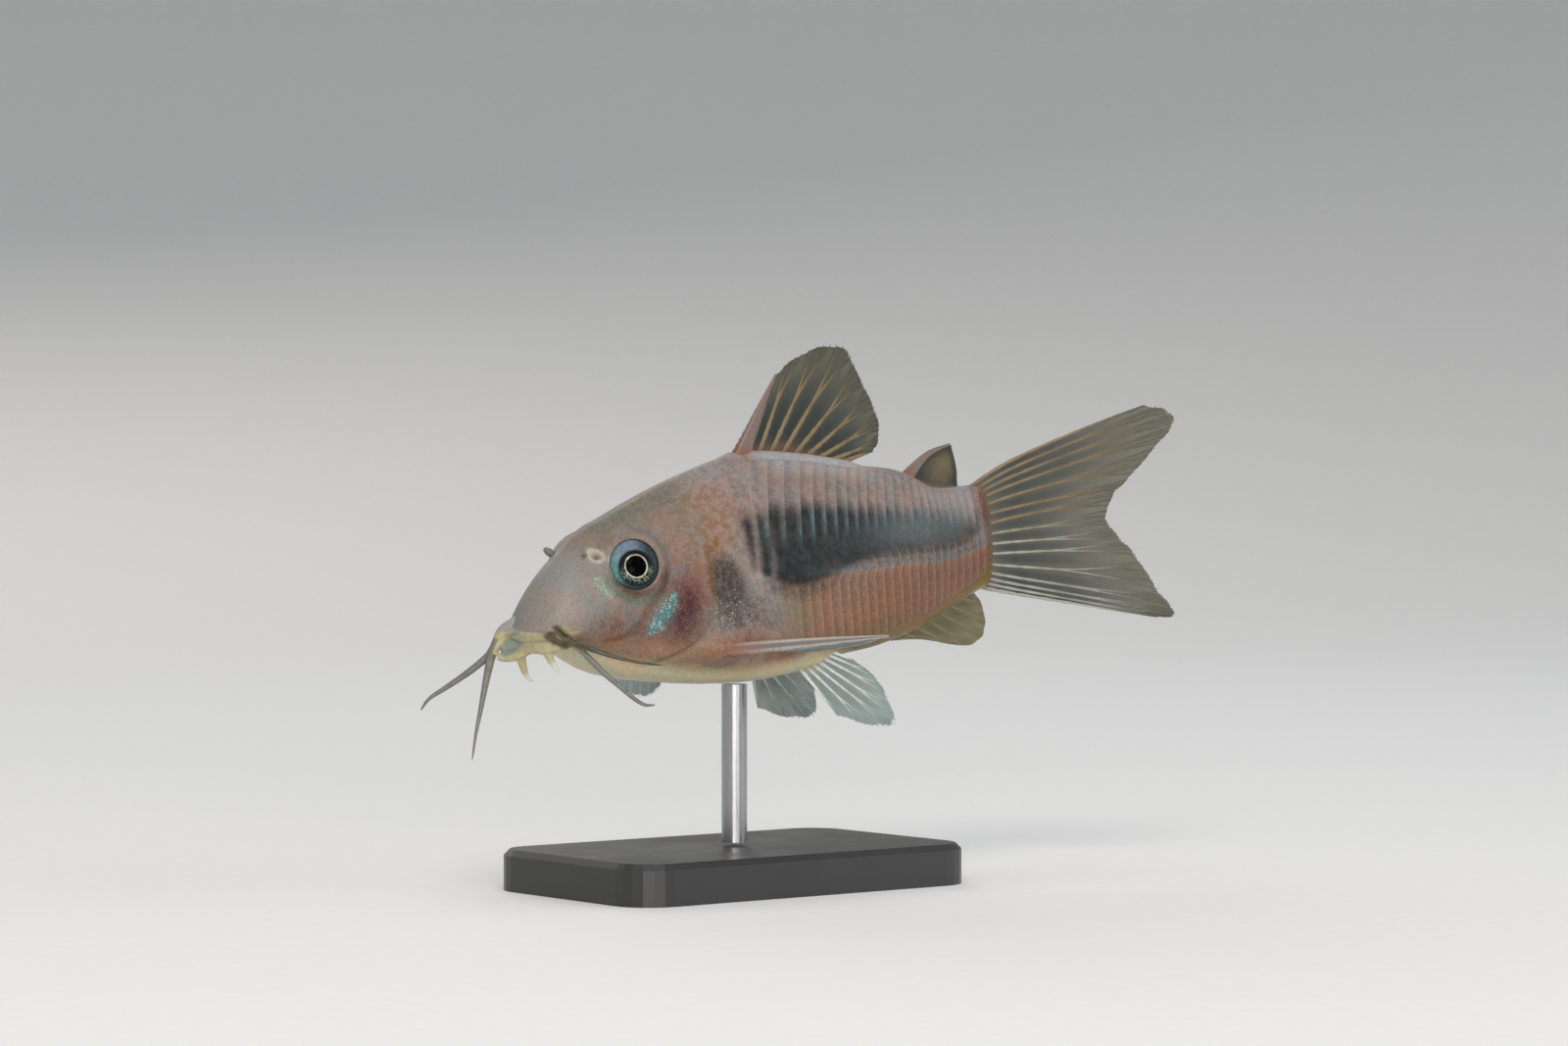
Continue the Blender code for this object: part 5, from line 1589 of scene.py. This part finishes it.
def eye_iris():
    """Iris behind the clear eye: black round a thin silver ring, blue and teal at its edge."""
    colours = bpy.context.scene.cory_colours
    settings = bpy.context.scene.cory_eyes
    made, tree = fresh("fish iris")
    if not tree:
        return made
    around = node(tree, "ShaderNodeAttribute", {"attribute_name": "around"}).outputs["Vector"]
    reach = value_of(tree, "reach")
    split = node(tree, "ShaderNodeSeparateXYZ", {}, {"Vector": around})
    edge = mixed(tree, ranged(tree, split.outputs["Y"], -0.2, 1.4), colours.iris_low, colours.iris_high)
    edge = mixed(tree, ranged(tree, split.outputs["X"], -0.2, 1.4, 0.0, 0.9), edge, colours.iris_rim)
    edge = mixed(tree, ranged(tree, split.outputs["Y"], -0.8, -1.9, 0.0, 0.8), edge, colours.iris_rim)
    tipped = mathed(tree, "ADD", reach, mathed(tree, "MULTIPLY", split.outputs["Y"], 0.13))
    streaks = node(tree, "ShaderNodeTexNoise", {}, {"Vector": around, "Scale": 1 / 0.28, "Detail": 3.0})
    edge = mixed(tree, 1.0, edge, ranged(tree, streaks.outputs["Fac"], 0.35, 0.65, 0.8, 1.1), "MULTIPLY")
    shade = mixed(tree, ranged(tree, tipped, 1.42, 1.7), colours.iris_black, edge)
    outer_dark = ranged(tree, reach, 1.95, 2.2, 0.0, 0.6)
    shade = mixed(tree, outer_dark, shade, colours.iris_rim)
    flecks = node(tree, "ShaderNodeTexNoise", {}, {"Vector": around, "Scale": 1 / 0.1, "Detail": 2.0})
    lower = mathed(tree, "MULTIPLY", ranged(tree, flecks.outputs["Fac"], 0.5, 0.62),
                   ranged(tree, split.outputs["Y"], 0.0, -0.9))
    lower = mathed(tree, "MULTIPLY", lower, mathed(tree, "MULTIPLY", ranged(tree, reach, 1.0, 1.15),
                                                   ranged(tree, reach, 1.65, 1.4)))
    shade = mixed(tree, lower, shade, colours.iris_fleck)
    ring = mathed(tree, "MULTIPLY", ranged(tree, reach, settings.pupil_radius - 0.02,
                                           settings.pupil_radius + 0.03),
                  ranged(tree, reach, settings.ring_radius + 0.05, settings.ring_radius - 0.03))
    uneven = node(tree, "ShaderNodeTexNoise", {}, {"Vector": around, "Scale": 1 / 0.35, "Detail": 2.0})
    ring = mathed(tree, "MULTIPLY", ring, ranged(tree, uneven.outputs["Fac"], 0.35, 0.6, 0.35, 1.0))
    shade = mixed(tree, ring, shade, colours.iris_ring)
    surface = node(tree, "ShaderNodeBsdfPrincipled", {}, {
        "Base Color": shade, "Roughness": 0.35, "IOR": 1.36, "Specular IOR Level": 0.2,
        "Metallic": mathed(tree, "MULTIPLY", ring, 0.4),
    })
    node(tree, "ShaderNodeOutputMaterial", {}, {"Surface": surface.outputs[0]})
    return made


def eye_pupil():
    """The dark lens in the pupil: black, smooth and wet."""
    colours = bpy.context.scene.cory_colours
    made, tree = fresh("eye lens")
    if not tree:
        return made
    reach = value_of(tree, "reach")
    shade = mixed(tree, ranged(tree, reach, 0.0, 0.8), colours.pupil, colours.pupil_edge)
    surface = node(tree, "ShaderNodeBsdfPrincipled", {}, {
        "Base Color": shade, "Roughness": 0.1, "IOR": 1.36, "Specular IOR Level": 0.03,
    })
    node(tree, "ShaderNodeOutputMaterial", {}, {"Surface": surface.outputs[0]})
    return made


def eye_cornea():
    """The clear window of the eye: wet, colourless and thin."""
    made, tree = fresh("clear cornea")
    if not tree:
        return made
    surface = node(tree, "ShaderNodeBsdfPrincipled", {}, {
        "Base Color": (0.02, 0.02, 0.02, 1.0), "Roughness": 0.15, "IOR": 1.38, "Alpha": 0.03,
        "Specular IOR Level": 0.3,
    })
    node(tree, "ShaderNodeOutputMaterial", {}, {"Surface": surface.outputs[0]})
    return made


def base_lacquer():
    """Dark satin lacquer over steel: sprayed, with a very slight orange-peel surface."""
    colours = bpy.context.scene.cory_colours
    made, tree = fresh("sprayed satin lacquer")
    if not tree:
        return made
    place = node(tree, "ShaderNodeTexCoord").outputs["Object"]
    peel = node(tree, "ShaderNodeTexNoise", {}, {"Vector": place, "Scale": 1 / (0.6 * MM), "Detail": 2.0})
    cloud = node(tree, "ShaderNodeTexNoise", {}, {"Vector": place, "Scale": 1 / (8 * MM), "Detail": 3.0})
    shade = mixed(tree, cloud.outputs["Fac"], colours.lacquer, colours.lacquer_light)
    rough = ranged(tree, cloud.outputs["Fac"], 0.3, 0.7, 0.3, 0.42)
    raised = node(tree, "ShaderNodeBump", {}, {"Strength": 0.12, "Distance": 0.00005,
                                               "Height": peel.outputs["Fac"]}).outputs["Normal"]
    surface = node(tree, "ShaderNodeBsdfPrincipled", {}, {
        "Base Color": shade, "Roughness": rough, "IOR": 1.5, "Normal": raised,
    })
    node(tree, "ShaderNodeOutputMaterial", {}, {"Surface": surface.outputs[0]})
    return made


def rod_steel():
    """Stainless steel drawn and brushed lengthwise: bright with fine streaks."""
    colours = bpy.context.scene.cory_colours
    made, tree = fresh("brushed stainless steel")
    if not tree:
        return made
    place = node(tree, "ShaderNodeTexCoord").outputs["Object"]
    long_way = node(tree, "ShaderNodeMapping", {}, {"Vector": place, "Scale": (1.0, 1.0, 0.03)})
    # Brush marks are a few hundredths of a millimetre wide; they are drawn at 0.12 mm
    marks = node(tree, "ShaderNodeTexNoise", {}, {"Vector": long_way.outputs[0], "Scale": 1 / (0.12 * MM),
                                                  "Detail": 2.0})
    shade = mixed(tree, marks.outputs["Fac"], colours.steel_dark, colours.steel)
    rough = ranged(tree, marks.outputs["Fac"], 0.3, 0.7, 0.22, 0.38)
    surface = node(tree, "ShaderNodeBsdfPrincipled", {}, {
        "Base Color": shade, "Metallic": 1.0, "Roughness": rough,
    })
    node(tree, "ShaderNodeOutputMaterial", {}, {"Surface": surface.outputs[0]})
    return made


def studio_paper():
    """Pale matt paper of the studio floor and backdrop."""
    colours = bpy.context.scene.cory_colours
    made, tree = fresh("matt studio paper")
    if not tree:
        return made
    place = node(tree, "ShaderNodeTexCoord").outputs["Object"]
    fibre = node(tree, "ShaderNodeTexNoise", {}, {"Vector": place, "Scale": 1 / (1.5 * MM), "Detail": 3.0})
    shade = mixed(tree, fibre.outputs["Fac"], colours.paper, colours.paper_shade)
    surface = node(tree, "ShaderNodeBsdfPrincipled", {}, {"Base Color": shade, "Roughness": 0.85})
    node(tree, "ShaderNodeOutputMaterial", {}, {"Surface": surface.outputs[0]})
    return made


# Stand and stage

def finish_stand():
    for name, finish in (("stand_base", base_lacquer()), ("stand_rod", rod_steel())):
        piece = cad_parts[name]
        piece.data.materials.clear()
        piece.data.materials.append(finish)


def make_backdrop():
    """A round sweep of paper: a flat floor that curves up into a wall on all sides."""
    settings = bpy.context.scene.cory_stage
    floor = settings.floor_radius
    curve = settings.sweep_radius
    arc = np.linspace(0.0, math.pi / 2, 24)
    profile = [(0.02, 0.0)] + [(floor * t, 0.0) for t in (0.1, 0.4, 0.7, 0.9)]
    profile += [(floor + curve * math.sin(t), curve * (1 - math.cos(t))) for t in arc]
    profile += [(floor + curve, curve + settings.wall_height)]
    sides = 96
    turn = np.linspace(0.0, 2 * math.pi, sides, endpoint=False)
    points = [(r * math.cos(t), r * math.sin(t), z) for r, z in profile for t in turn]
    points.append((0.0, 0.0, 0.0))
    faces = grid_faces(len(profile), sides, wrapped=True).tolist()
    faces += [(len(points) - 1, (k + 1) % sides, k) for k in range(sides)]
    mesh = bpy.data.meshes.new("studio_floor")
    mesh.from_pydata(points, [], faces)
    mesh.shade_smooth()
    mesh.materials.append(studio_paper())
    backdrop = bpy.data.objects.new("studio_floor", mesh)
    bpy.context.scene.collection.objects.link(backdrop)


def add_light(name, place, aim, width, power, tint):
    lamp = bpy.data.lights.new(name, "AREA")
    lamp.shape = "SQUARE"
    lamp.size = width
    lamp.energy = power
    lamp.color = tint[:3]
    made = bpy.data.objects.new(name, lamp)
    made.location = place
    made.rotation_euler = (Vector(aim) - Vector(place)).to_track_quat("-Z", "Y").to_euler()
    bpy.context.scene.collection.objects.link(made)


def make_camera():
    azimuth = math.radians(CAMERA_AZIMUTH)
    elevation = math.radians(CAMERA_ELEVATION)
    back = Vector((math.sin(azimuth) * math.cos(elevation), -math.cos(azimuth) * math.cos(elevation),
                   math.sin(elevation)))
    lens = bpy.data.cameras.new("camera")
    lens.lens = CAMERA_LENS
    lens.sensor_width = 36.0
    lens.clip_start = 0.01
    lens.clip_end = 20.0
    camera = bpy.data.objects.new("camera", lens)
    camera.location = (Vector(CAMERA_AIM) + back * CAMERA_DISTANCE) * MM
    camera.rotation_euler = back.to_track_quat("Z", "Y").to_euler()
    bpy.context.scene.collection.objects.link(camera)
    bpy.context.scene.camera = camera


def make_stage():
    settings = bpy.context.scene.cory_stage
    make_backdrop()
    make_camera()
    middle = (0.0, 0.0, 0.03)
    warm = linear("#fff6ea")
    cool = linear("#eef4ff")
    add_light("key_light", (-0.35, -0.45, 0.6), middle, 0.4, settings.key_power, warm)
    add_light("top_light", (0.1, 0.1, 0.8), middle, 0.6, settings.top_power, cool)
    add_light("fill_light", (0.6, -0.5, 0.3), middle, 0.5, settings.fill_power, cool)
    add_light("back_light", (0.2, 0.7, 0.5), middle, 0.5, settings.fill_power, warm)
    add_light("low_light", (-0.3, -0.6, 0.03), middle, 0.4, settings.low_power, warm)
    world = bpy.data.worlds.new("studio_air")
    world.use_nodes = True
    air = world.node_tree.nodes["Background"]
    air.inputs["Color"].default_value = linear("#f2f4f5")
    air.inputs["Strength"].default_value = settings.air_strength
    bpy.context.scene.world = world
    bpy.context.scene.view_settings.view_transform = "Standard"


# Settings

class CoryBodySettings(bpy.types.PropertyGroup):
    head_rings: IntProperty(name="Head rings", description="Rings of the skin on the head", default=190,
                            min=20)
    body_rings: IntProperty(name="Body rings", description="Rings of the skin behind the head",
                            default=190, min=20)
    ring_points: IntProperty(name="Ring points", description="Points in each ring", default=252, min=32)
    lip_voxel: size("Lip grain", 0.07, "Size of the grid that blends the mouth's rolls, in millimetres")
    plate_rows: IntProperty(name="Plate rows", description="Steps down each plate", default=36, min=8)
    plate_columns: IntProperty(name="Plate columns", description="Steps along each plate", default=9,
                               min=4)
    plate_thickness: size("Plate thickness", 0.05, "Thickness of a plate's rear edge in millimetres")


class CoryEyeSettings(bpy.types.PropertyGroup):
    ball_radius: size("Ball radius", 2.4, "Radius of the eyeball in millimetres")
    ball_depth: size("Ball depth", 1.4, "Depth of the flattened eyeball in millimetres")
    rim_radius: size("Rim radius", 2.25, "Radius of the skin's opening in millimetres")
    pupil_radius: size("Pupil radius", 0.9, "Radius of the pupil in millimetres")
    ring_radius: size("Ring radius", 1.01, "Outer radius of the silver ring in millimetres")
    pupil_drop: size("Pupil drop", 0.22, "How far the pupil sits below the eye's middle, in millimetres")


class CoryFinSettings(bpy.types.PropertyGroup):
    dorsal_rays: IntProperty(name="Dorsal rays", description="Rays of the dorsal fin", default=8, min=2)
    anal_rays: IntProperty(name="Anal rays", description="Rays of the anal fin", default=7, min=2)
    caudal_rays: IntProperty(name="Caudal rays", description="Rays of the tail fin", default=14, min=4)
    pelvic_rays: IntProperty(name="Pelvic rays", description="Rays of each pelvic fin", default=6, min=2)
    pectoral_rays: IntProperty(name="Pectoral rays", description="Rays of each pectoral fin", default=8,
                               min=2)
    web_root: size("Web at the root", 0.26, "Thickness of the fin skin at its root in millimetres")
    web_edge: size("Web at the margin", 0.07, "Thickness of the fin skin at its margin in millimetres")


class CoryStageSettings(bpy.types.PropertyGroup):
    floor_radius: FloatProperty(name="Floor radius", description="Flat part of the floor", default=0.5,
                                unit="LENGTH")
    sweep_radius: FloatProperty(name="Sweep radius", description="Curve from floor to wall", default=1.3,
                                unit="LENGTH")
    wall_height: FloatProperty(name="Wall height", description="Height of the wall above the curve",
                               default=1.0, unit="LENGTH")
    key_power: FloatProperty(name="Key power", description="Main soft light in watts", default=3.0)
    top_power: FloatProperty(name="Top power", description="Soft light from above in watts", default=1.5)
    fill_power: FloatProperty(name="Fill power", description="Side and rear lights in watts", default=1.3)
    low_power: FloatProperty(name="Low power", description="Soft low light in watts", default=4.2)
    air_strength: FloatProperty(name="Air strength", description="Light from all round", default=0.26)


class CoryColours(bpy.types.PropertyGroup):
    back: colour("Back", "#8d8688", "Skin of the back")
    back_dark: colour("Back, dark", "#7a706d", "Darker patches of the back")
    head: colour("Head", "#7b6e66", "Skin of the head")
    snout: colour("Snout", "#8c8d8d", "Skin of the snout")
    crown: colour("Crown", "#5c5e51", "Top of the head")
    nape: colour("Nape", "#815f36", "Gold patches behind the head")
    salmon: colour("Salmon", "#825d45", "Lower flank")
    greenish: colour("Greenish flank", "#737360", "Front of the lower flank, above the pectoral spine")
    salmon_tail: colour("Salmon, tail", "#724936", "Lower flank towards the tail")
    cheek: colour("Cheek", "#5c3b32", "Side of the head below the eye")
    cream: colour("Cream", "#d9d3b2", "Belly and throat")
    yellow: colour("Yellow", "#756418", "Lower edge of the flank")
    band: colour("Band", "#0b1a1c", "Green-black band of the flank")
    under_band: colour("Under the band", "#443c36", "Shaded skin below the front of the band")
    # Painted sheen: a blue-grey highlight on the upper rear part of the band
    sheen: colour("Sheen", "#566a72", "Blue-grey rear part of the band")
    # Painted shadow: a dark line just above the seam between the plate rows
    seam_shadow: colour("Brown line", "#2c251e", "Line above the seam")
    seam: colour("Seam", "#52545b", "Beads of the seam between the plate rows")
    gill_shade: colour("Gill shade", "#2b2018", "Dark patch behind the gill cover")
    speckle: colour("Speckle", "#3c3b38", "Speckled patch behind the gill cover")
    pale_arc: colour("Pale arc", "#8d8683", "Pale line behind the gill cover")
    gold: colour("Gold", "#6b4714", "Rear edge of the gill cover")
    maroon: colour("Maroon", "#3b1a28", "Patch on the gill cover")
    streak: colour("Streak", "#6b757b", "Blue-grey streaks of the cheek")
    crescent: colour("Crescent", "#422b21", "Skin under the eye")
    glow: colour("Glow", "#4e6455", "Greenish skin below the eye")
    glint: colour("Glint", "#819a88", "Pale green patch before the eye")
    teal: colour("Teal", "#3a7f86", "Turquoise patch of the cheek")
    shoulder: colour("Shoulder", "#75472c", "Orange skin by the pectoral fin")
    flush: colour("Flush", "#7b4a3c", "Reddish skin by the pelvic fin")
    tail_flush: colour("Tail flush", "#602b1e", "Red patch at the root of the tail fin")
    # Painted highlight on the top of the back under the dorsal fin and before the tail
    back_light: colour("Back light", "#acabb0", "Pale skin under the dorsal fin")
    lip: colour("Lip", "#aca686", "Lips")
    lip_dark: colour("Lip, dark", "#42301f", "Brownish corner of the lips")
    lip_line: colour("Lip line", "#8d8a90", "Lilac-grey edge of the snout above the mouth")
    # Grey-blue tissue of the mouth's hollow, darkened as painted shade
    hollow_tissue_and_shade: colour("Lip hollow", "#74817f", "Bluish hollow of the mouth")
    mouth_edge: colour("Mouth edge", "#9c8f66", "Pale edge beside the mouth's corner")
    # Painted shade in the groove at the mouth's corner and in the nostril's pit
    groove_shade: colour("Mouth groove", "#453426", "Groove at the mouth's corner")
    nostril: colour("Nostril", "#bdb7ac", "Rim of the nostril")
    # Plate rims: paler bone edges brightened by painted highlight; rim_glint is a painted glint and plate_shadow a
    # painted shadow
    rim_flank: colour("Plate rim", "#968478", "Rear edges of the plates")
    rim_band: colour("Plate rim, band", "#2c383b", "Rear edges of the plates in the dark band")
    rim_glint: colour("Plate rim, glint", "#809aa3", "Rear edges of the plates where the band catches light")
    plate_shadow: colour("Plate shadow", "#3c3530", "Front part of a plate, under the next one")
    fleck: colour("Fleck", "#a49b92", "Fine pale specks")
    tint_warm: colour("Warm tint", "#fff4ec", "Warm clouds over the skin")
    tint_cool: colour("Cool tint", "#f0f5f5", "Cool clouds over the skin")
    peach: colour("Peach", "#98765a", "Warm skin between the cheek and the throat")
    crease: colour("Crease", "#5b3a2a", "Reddish brown creases of the cheek")
    cover_flush: colour("Gill cover flush", "#7a4f44", "Reddish skin of the gill cover")
    glitter: colour("Glitter", "#dcf8f4", "Reflecting flecks")
    fin_web: colour("Fin skin", "#3c3d34", "Skin of the dusky fins")
    fin_stain: colour("Fin stain", "#232a2b", "Stain between the rays of the dusky fins")
    fin_ray: colour("Fin ray", "#8a7a5a", "Rays of the dusky fins")
    tail_web: colour("Tail fin skin", "#56574c", "Skin of the tail fin")
    tail_root: colour("Tail fin root", "#60543c", "Root of the tail fin")
    tail_thread: colour("Tail thread", "#8f8871", "Pale threads on the root of the tail fin")
    adipose_web: colour("Adipose fin skin", "#211e11", "Skin of the adipose fin")
    tail_stain: colour("Tail fin stain", "#363d3d", "Streaks between the rays of the tail fin")
    tail_ray: colour("Tail fin ray", "#998062", "Rays of the upper lobe of the tail fin")
    tail_ray_low: colour("Tail fin ray, low", "#b4b7af", "Rays of the lower lobe of the tail fin")
    olive_web: colour("Olive fin skin", "#656040", "Skin of the anal and adipose fins")
    olive_stain: colour("Olive fin stain", "#554f37", "Stain of the anal and adipose fins")
    olive_ray: colour("Olive fin ray", "#918866", "Rays of the anal fin")
    olive_root: colour("Olive fin root", "#776740", "Root of the anal fin")
    fin_root: colour("Fin root", "#6d4f40", "Roots of the dusky fins")
    pale_web: colour("Pale fin skin", "#839594", "Skin of the pale fins")
    pale_stain: colour("Pale fin stain", "#74817e", "Stain between the rays of the pale fins")
    pale_ray: colour("Pale fin ray", "#e3ebe8", "Rays of the pale fins")
    pale_root: colour("Pale fin root", "#b8a78e", "Roots of the pale fins")
    bone: colour("Spine", "#a39a92", "Fin spines")
    spine_flesh: colour("Spine skin", "#6f5f57", "Skin over the spines of the back")
    bone_groove: colour("Spine groove", "#5e5c66", "Groove of the fin spines")
    barbel_pale: colour("Barbel, pale", "#7d7558", "Upper edge of the barbels")
    barbel_dark: colour("Barbel, dark", "#382c20", "Barbels")
    barbel_tip: colour("Barbel tip", "#6d7477", "Tips of the barbels")
    iris_black: colour("Iris, black", "#0b0e10", "Inner iris")
    iris_high: colour("Iris, above", "#6a7b8e", "Outer iris above the pupil")
    iris_low: colour("Iris, below", "#578486", "Outer iris below the pupil")
    iris_rim: colour("Iris rim", "#1f2a2f", "Dark edge of the iris")
    iris_ring: colour("Iris ring", "#c4c8bd", "Silver ring round the pupil")
    iris_fleck: colour("Iris fleck", "#8fa08c", "Flecks of the lower iris")
    pupil: colour("Pupil", "#020203", "Lens in the pupil")
    pupil_edge: colour("Pupil edge", "#030405", "Edge of the lens")
    lacquer: colour("Lacquer", "#2a2b2d", "Base of the stand")
    lacquer_light: colour("Lacquer, light", "#323335", "Slightly lighter lacquer")
    steel: colour("Steel", "#b9bbbd", "Rod of the stand")
    steel_dark: colour("Steel, dark", "#8f9193", "Brush marks of the rod")
    paper: colour("Paper", "#f0f1f2", "Studio floor")
    paper_shade: colour("Paper, shade", "#e9ebec", "Fibres of the studio floor")


# Operators and panel

class CORY_OT_skin(bpy.types.Operator):
    """Model the skin of head, trunk and tail as one piece"""

    bl_idname = "cory.skin"
    bl_label = "Skin"

    def execute(self, context):
        make_skin()
        return {"FINISHED"}


class CORY_OT_plates(bpy.types.Operator):
    """Model the rows of bony plates on both sides"""

    bl_idname = "cory.plates"
    bl_label = "Bony plates"

    def execute(self, context):
        make_plates()
        return {"FINISHED"}


class CORY_OT_fins(bpy.types.Operator):
    """Model the fins with their rays"""

    bl_idname = "cory.fins"
    bl_label = "Fins"

    def execute(self, context):
        make_unpaired_fins()
        make_paired_fins()
        return {"FINISHED"}


class CORY_OT_spines(bpy.types.Operator):
    """Model the bony spines of the fins"""

    bl_idname = "cory.spines"
    bl_label = "Fin spines"

    def execute(self, context):
        make_spines()
        return {"FINISHED"}


class CORY_OT_mouth(bpy.types.Operator):
    """Model the lips, barbels and nostril flaps"""

    bl_idname = "cory.mouth"
    bl_label = "Mouth and barbels"

    def execute(self, context):
        make_mouth()
        make_nostril_flaps()
        return {"FINISHED"}


class CORY_OT_eyes(bpy.types.Operator):
    """Model both eyes and their rims"""

    bl_idname = "cory.eyes"
    bl_label = "Eyes"

    def execute(self, context):
        make_eyes()
        return {"FINISHED"}


class CORY_OT_stand(bpy.types.Operator):
    """Give the stand its lacquer and steel"""

    bl_idname = "cory.stand"
    bl_label = "Stand"

    def execute(self, context):
        finish_stand()
        return {"FINISHED"}


class CORY_OT_stage(bpy.types.Operator):
    """Set up the floor, the lights and the camera"""

    bl_idname = "cory.stage"
    bl_label = "Stage"

    def execute(self, context):
        make_stage()
        return {"FINISHED"}


OPERATORS = (CORY_OT_skin, CORY_OT_plates, CORY_OT_fins, CORY_OT_spines, CORY_OT_mouth, CORY_OT_eyes,
             CORY_OT_stand, CORY_OT_stage)
SETTINGS = (("cory_body", CoryBodySettings), ("cory_eyes", CoryEyeSettings),
            ("cory_fins", CoryFinSettings), ("cory_stage", CoryStageSettings),
            ("cory_colours", CoryColours))


class CORY_PT_maker(bpy.types.Panel):
    """Buttons that make each group of pieces"""

    bl_idname = "CORY_PT_maker"
    bl_label = "Corydoras Model Maker"
    bl_space_type = "VIEW_3D"
    bl_region_type = "UI"
    bl_category = "Corydoras"

    def draw(self, context):
        for operator in OPERATORS:
            self.layout.operator(operator.bl_idname)
        for name, group in SETTINGS:
            box = self.layout.box()
            for key in group.__annotations__:
                box.prop(getattr(context.scene, name), key)


def register():
    for name, group in SETTINGS:
        bpy.utils.register_class(group)
        setattr(bpy.types.Scene, name, PointerProperty(type=group))
    for operator in OPERATORS:
        bpy.utils.register_class(operator)
    bpy.utils.register_class(CORY_PT_maker)


def unregister():
    bpy.utils.unregister_class(CORY_PT_maker)
    for operator in reversed(OPERATORS):
        bpy.utils.unregister_class(operator)
    for name, group in reversed(SETTINGS):
        delattr(bpy.types.Scene, name)
        bpy.utils.unregister_class(group)


def main():
    register()
    bpy.ops.cory.skin()
    bpy.ops.cory.plates()
    bpy.ops.cory.fins()
    bpy.ops.cory.spines()
    bpy.ops.cory.mouth()
    bpy.ops.cory.eyes()
    bpy.ops.cory.stand()
    bpy.ops.cory.stage()


if __name__ == "__main__":
    main()
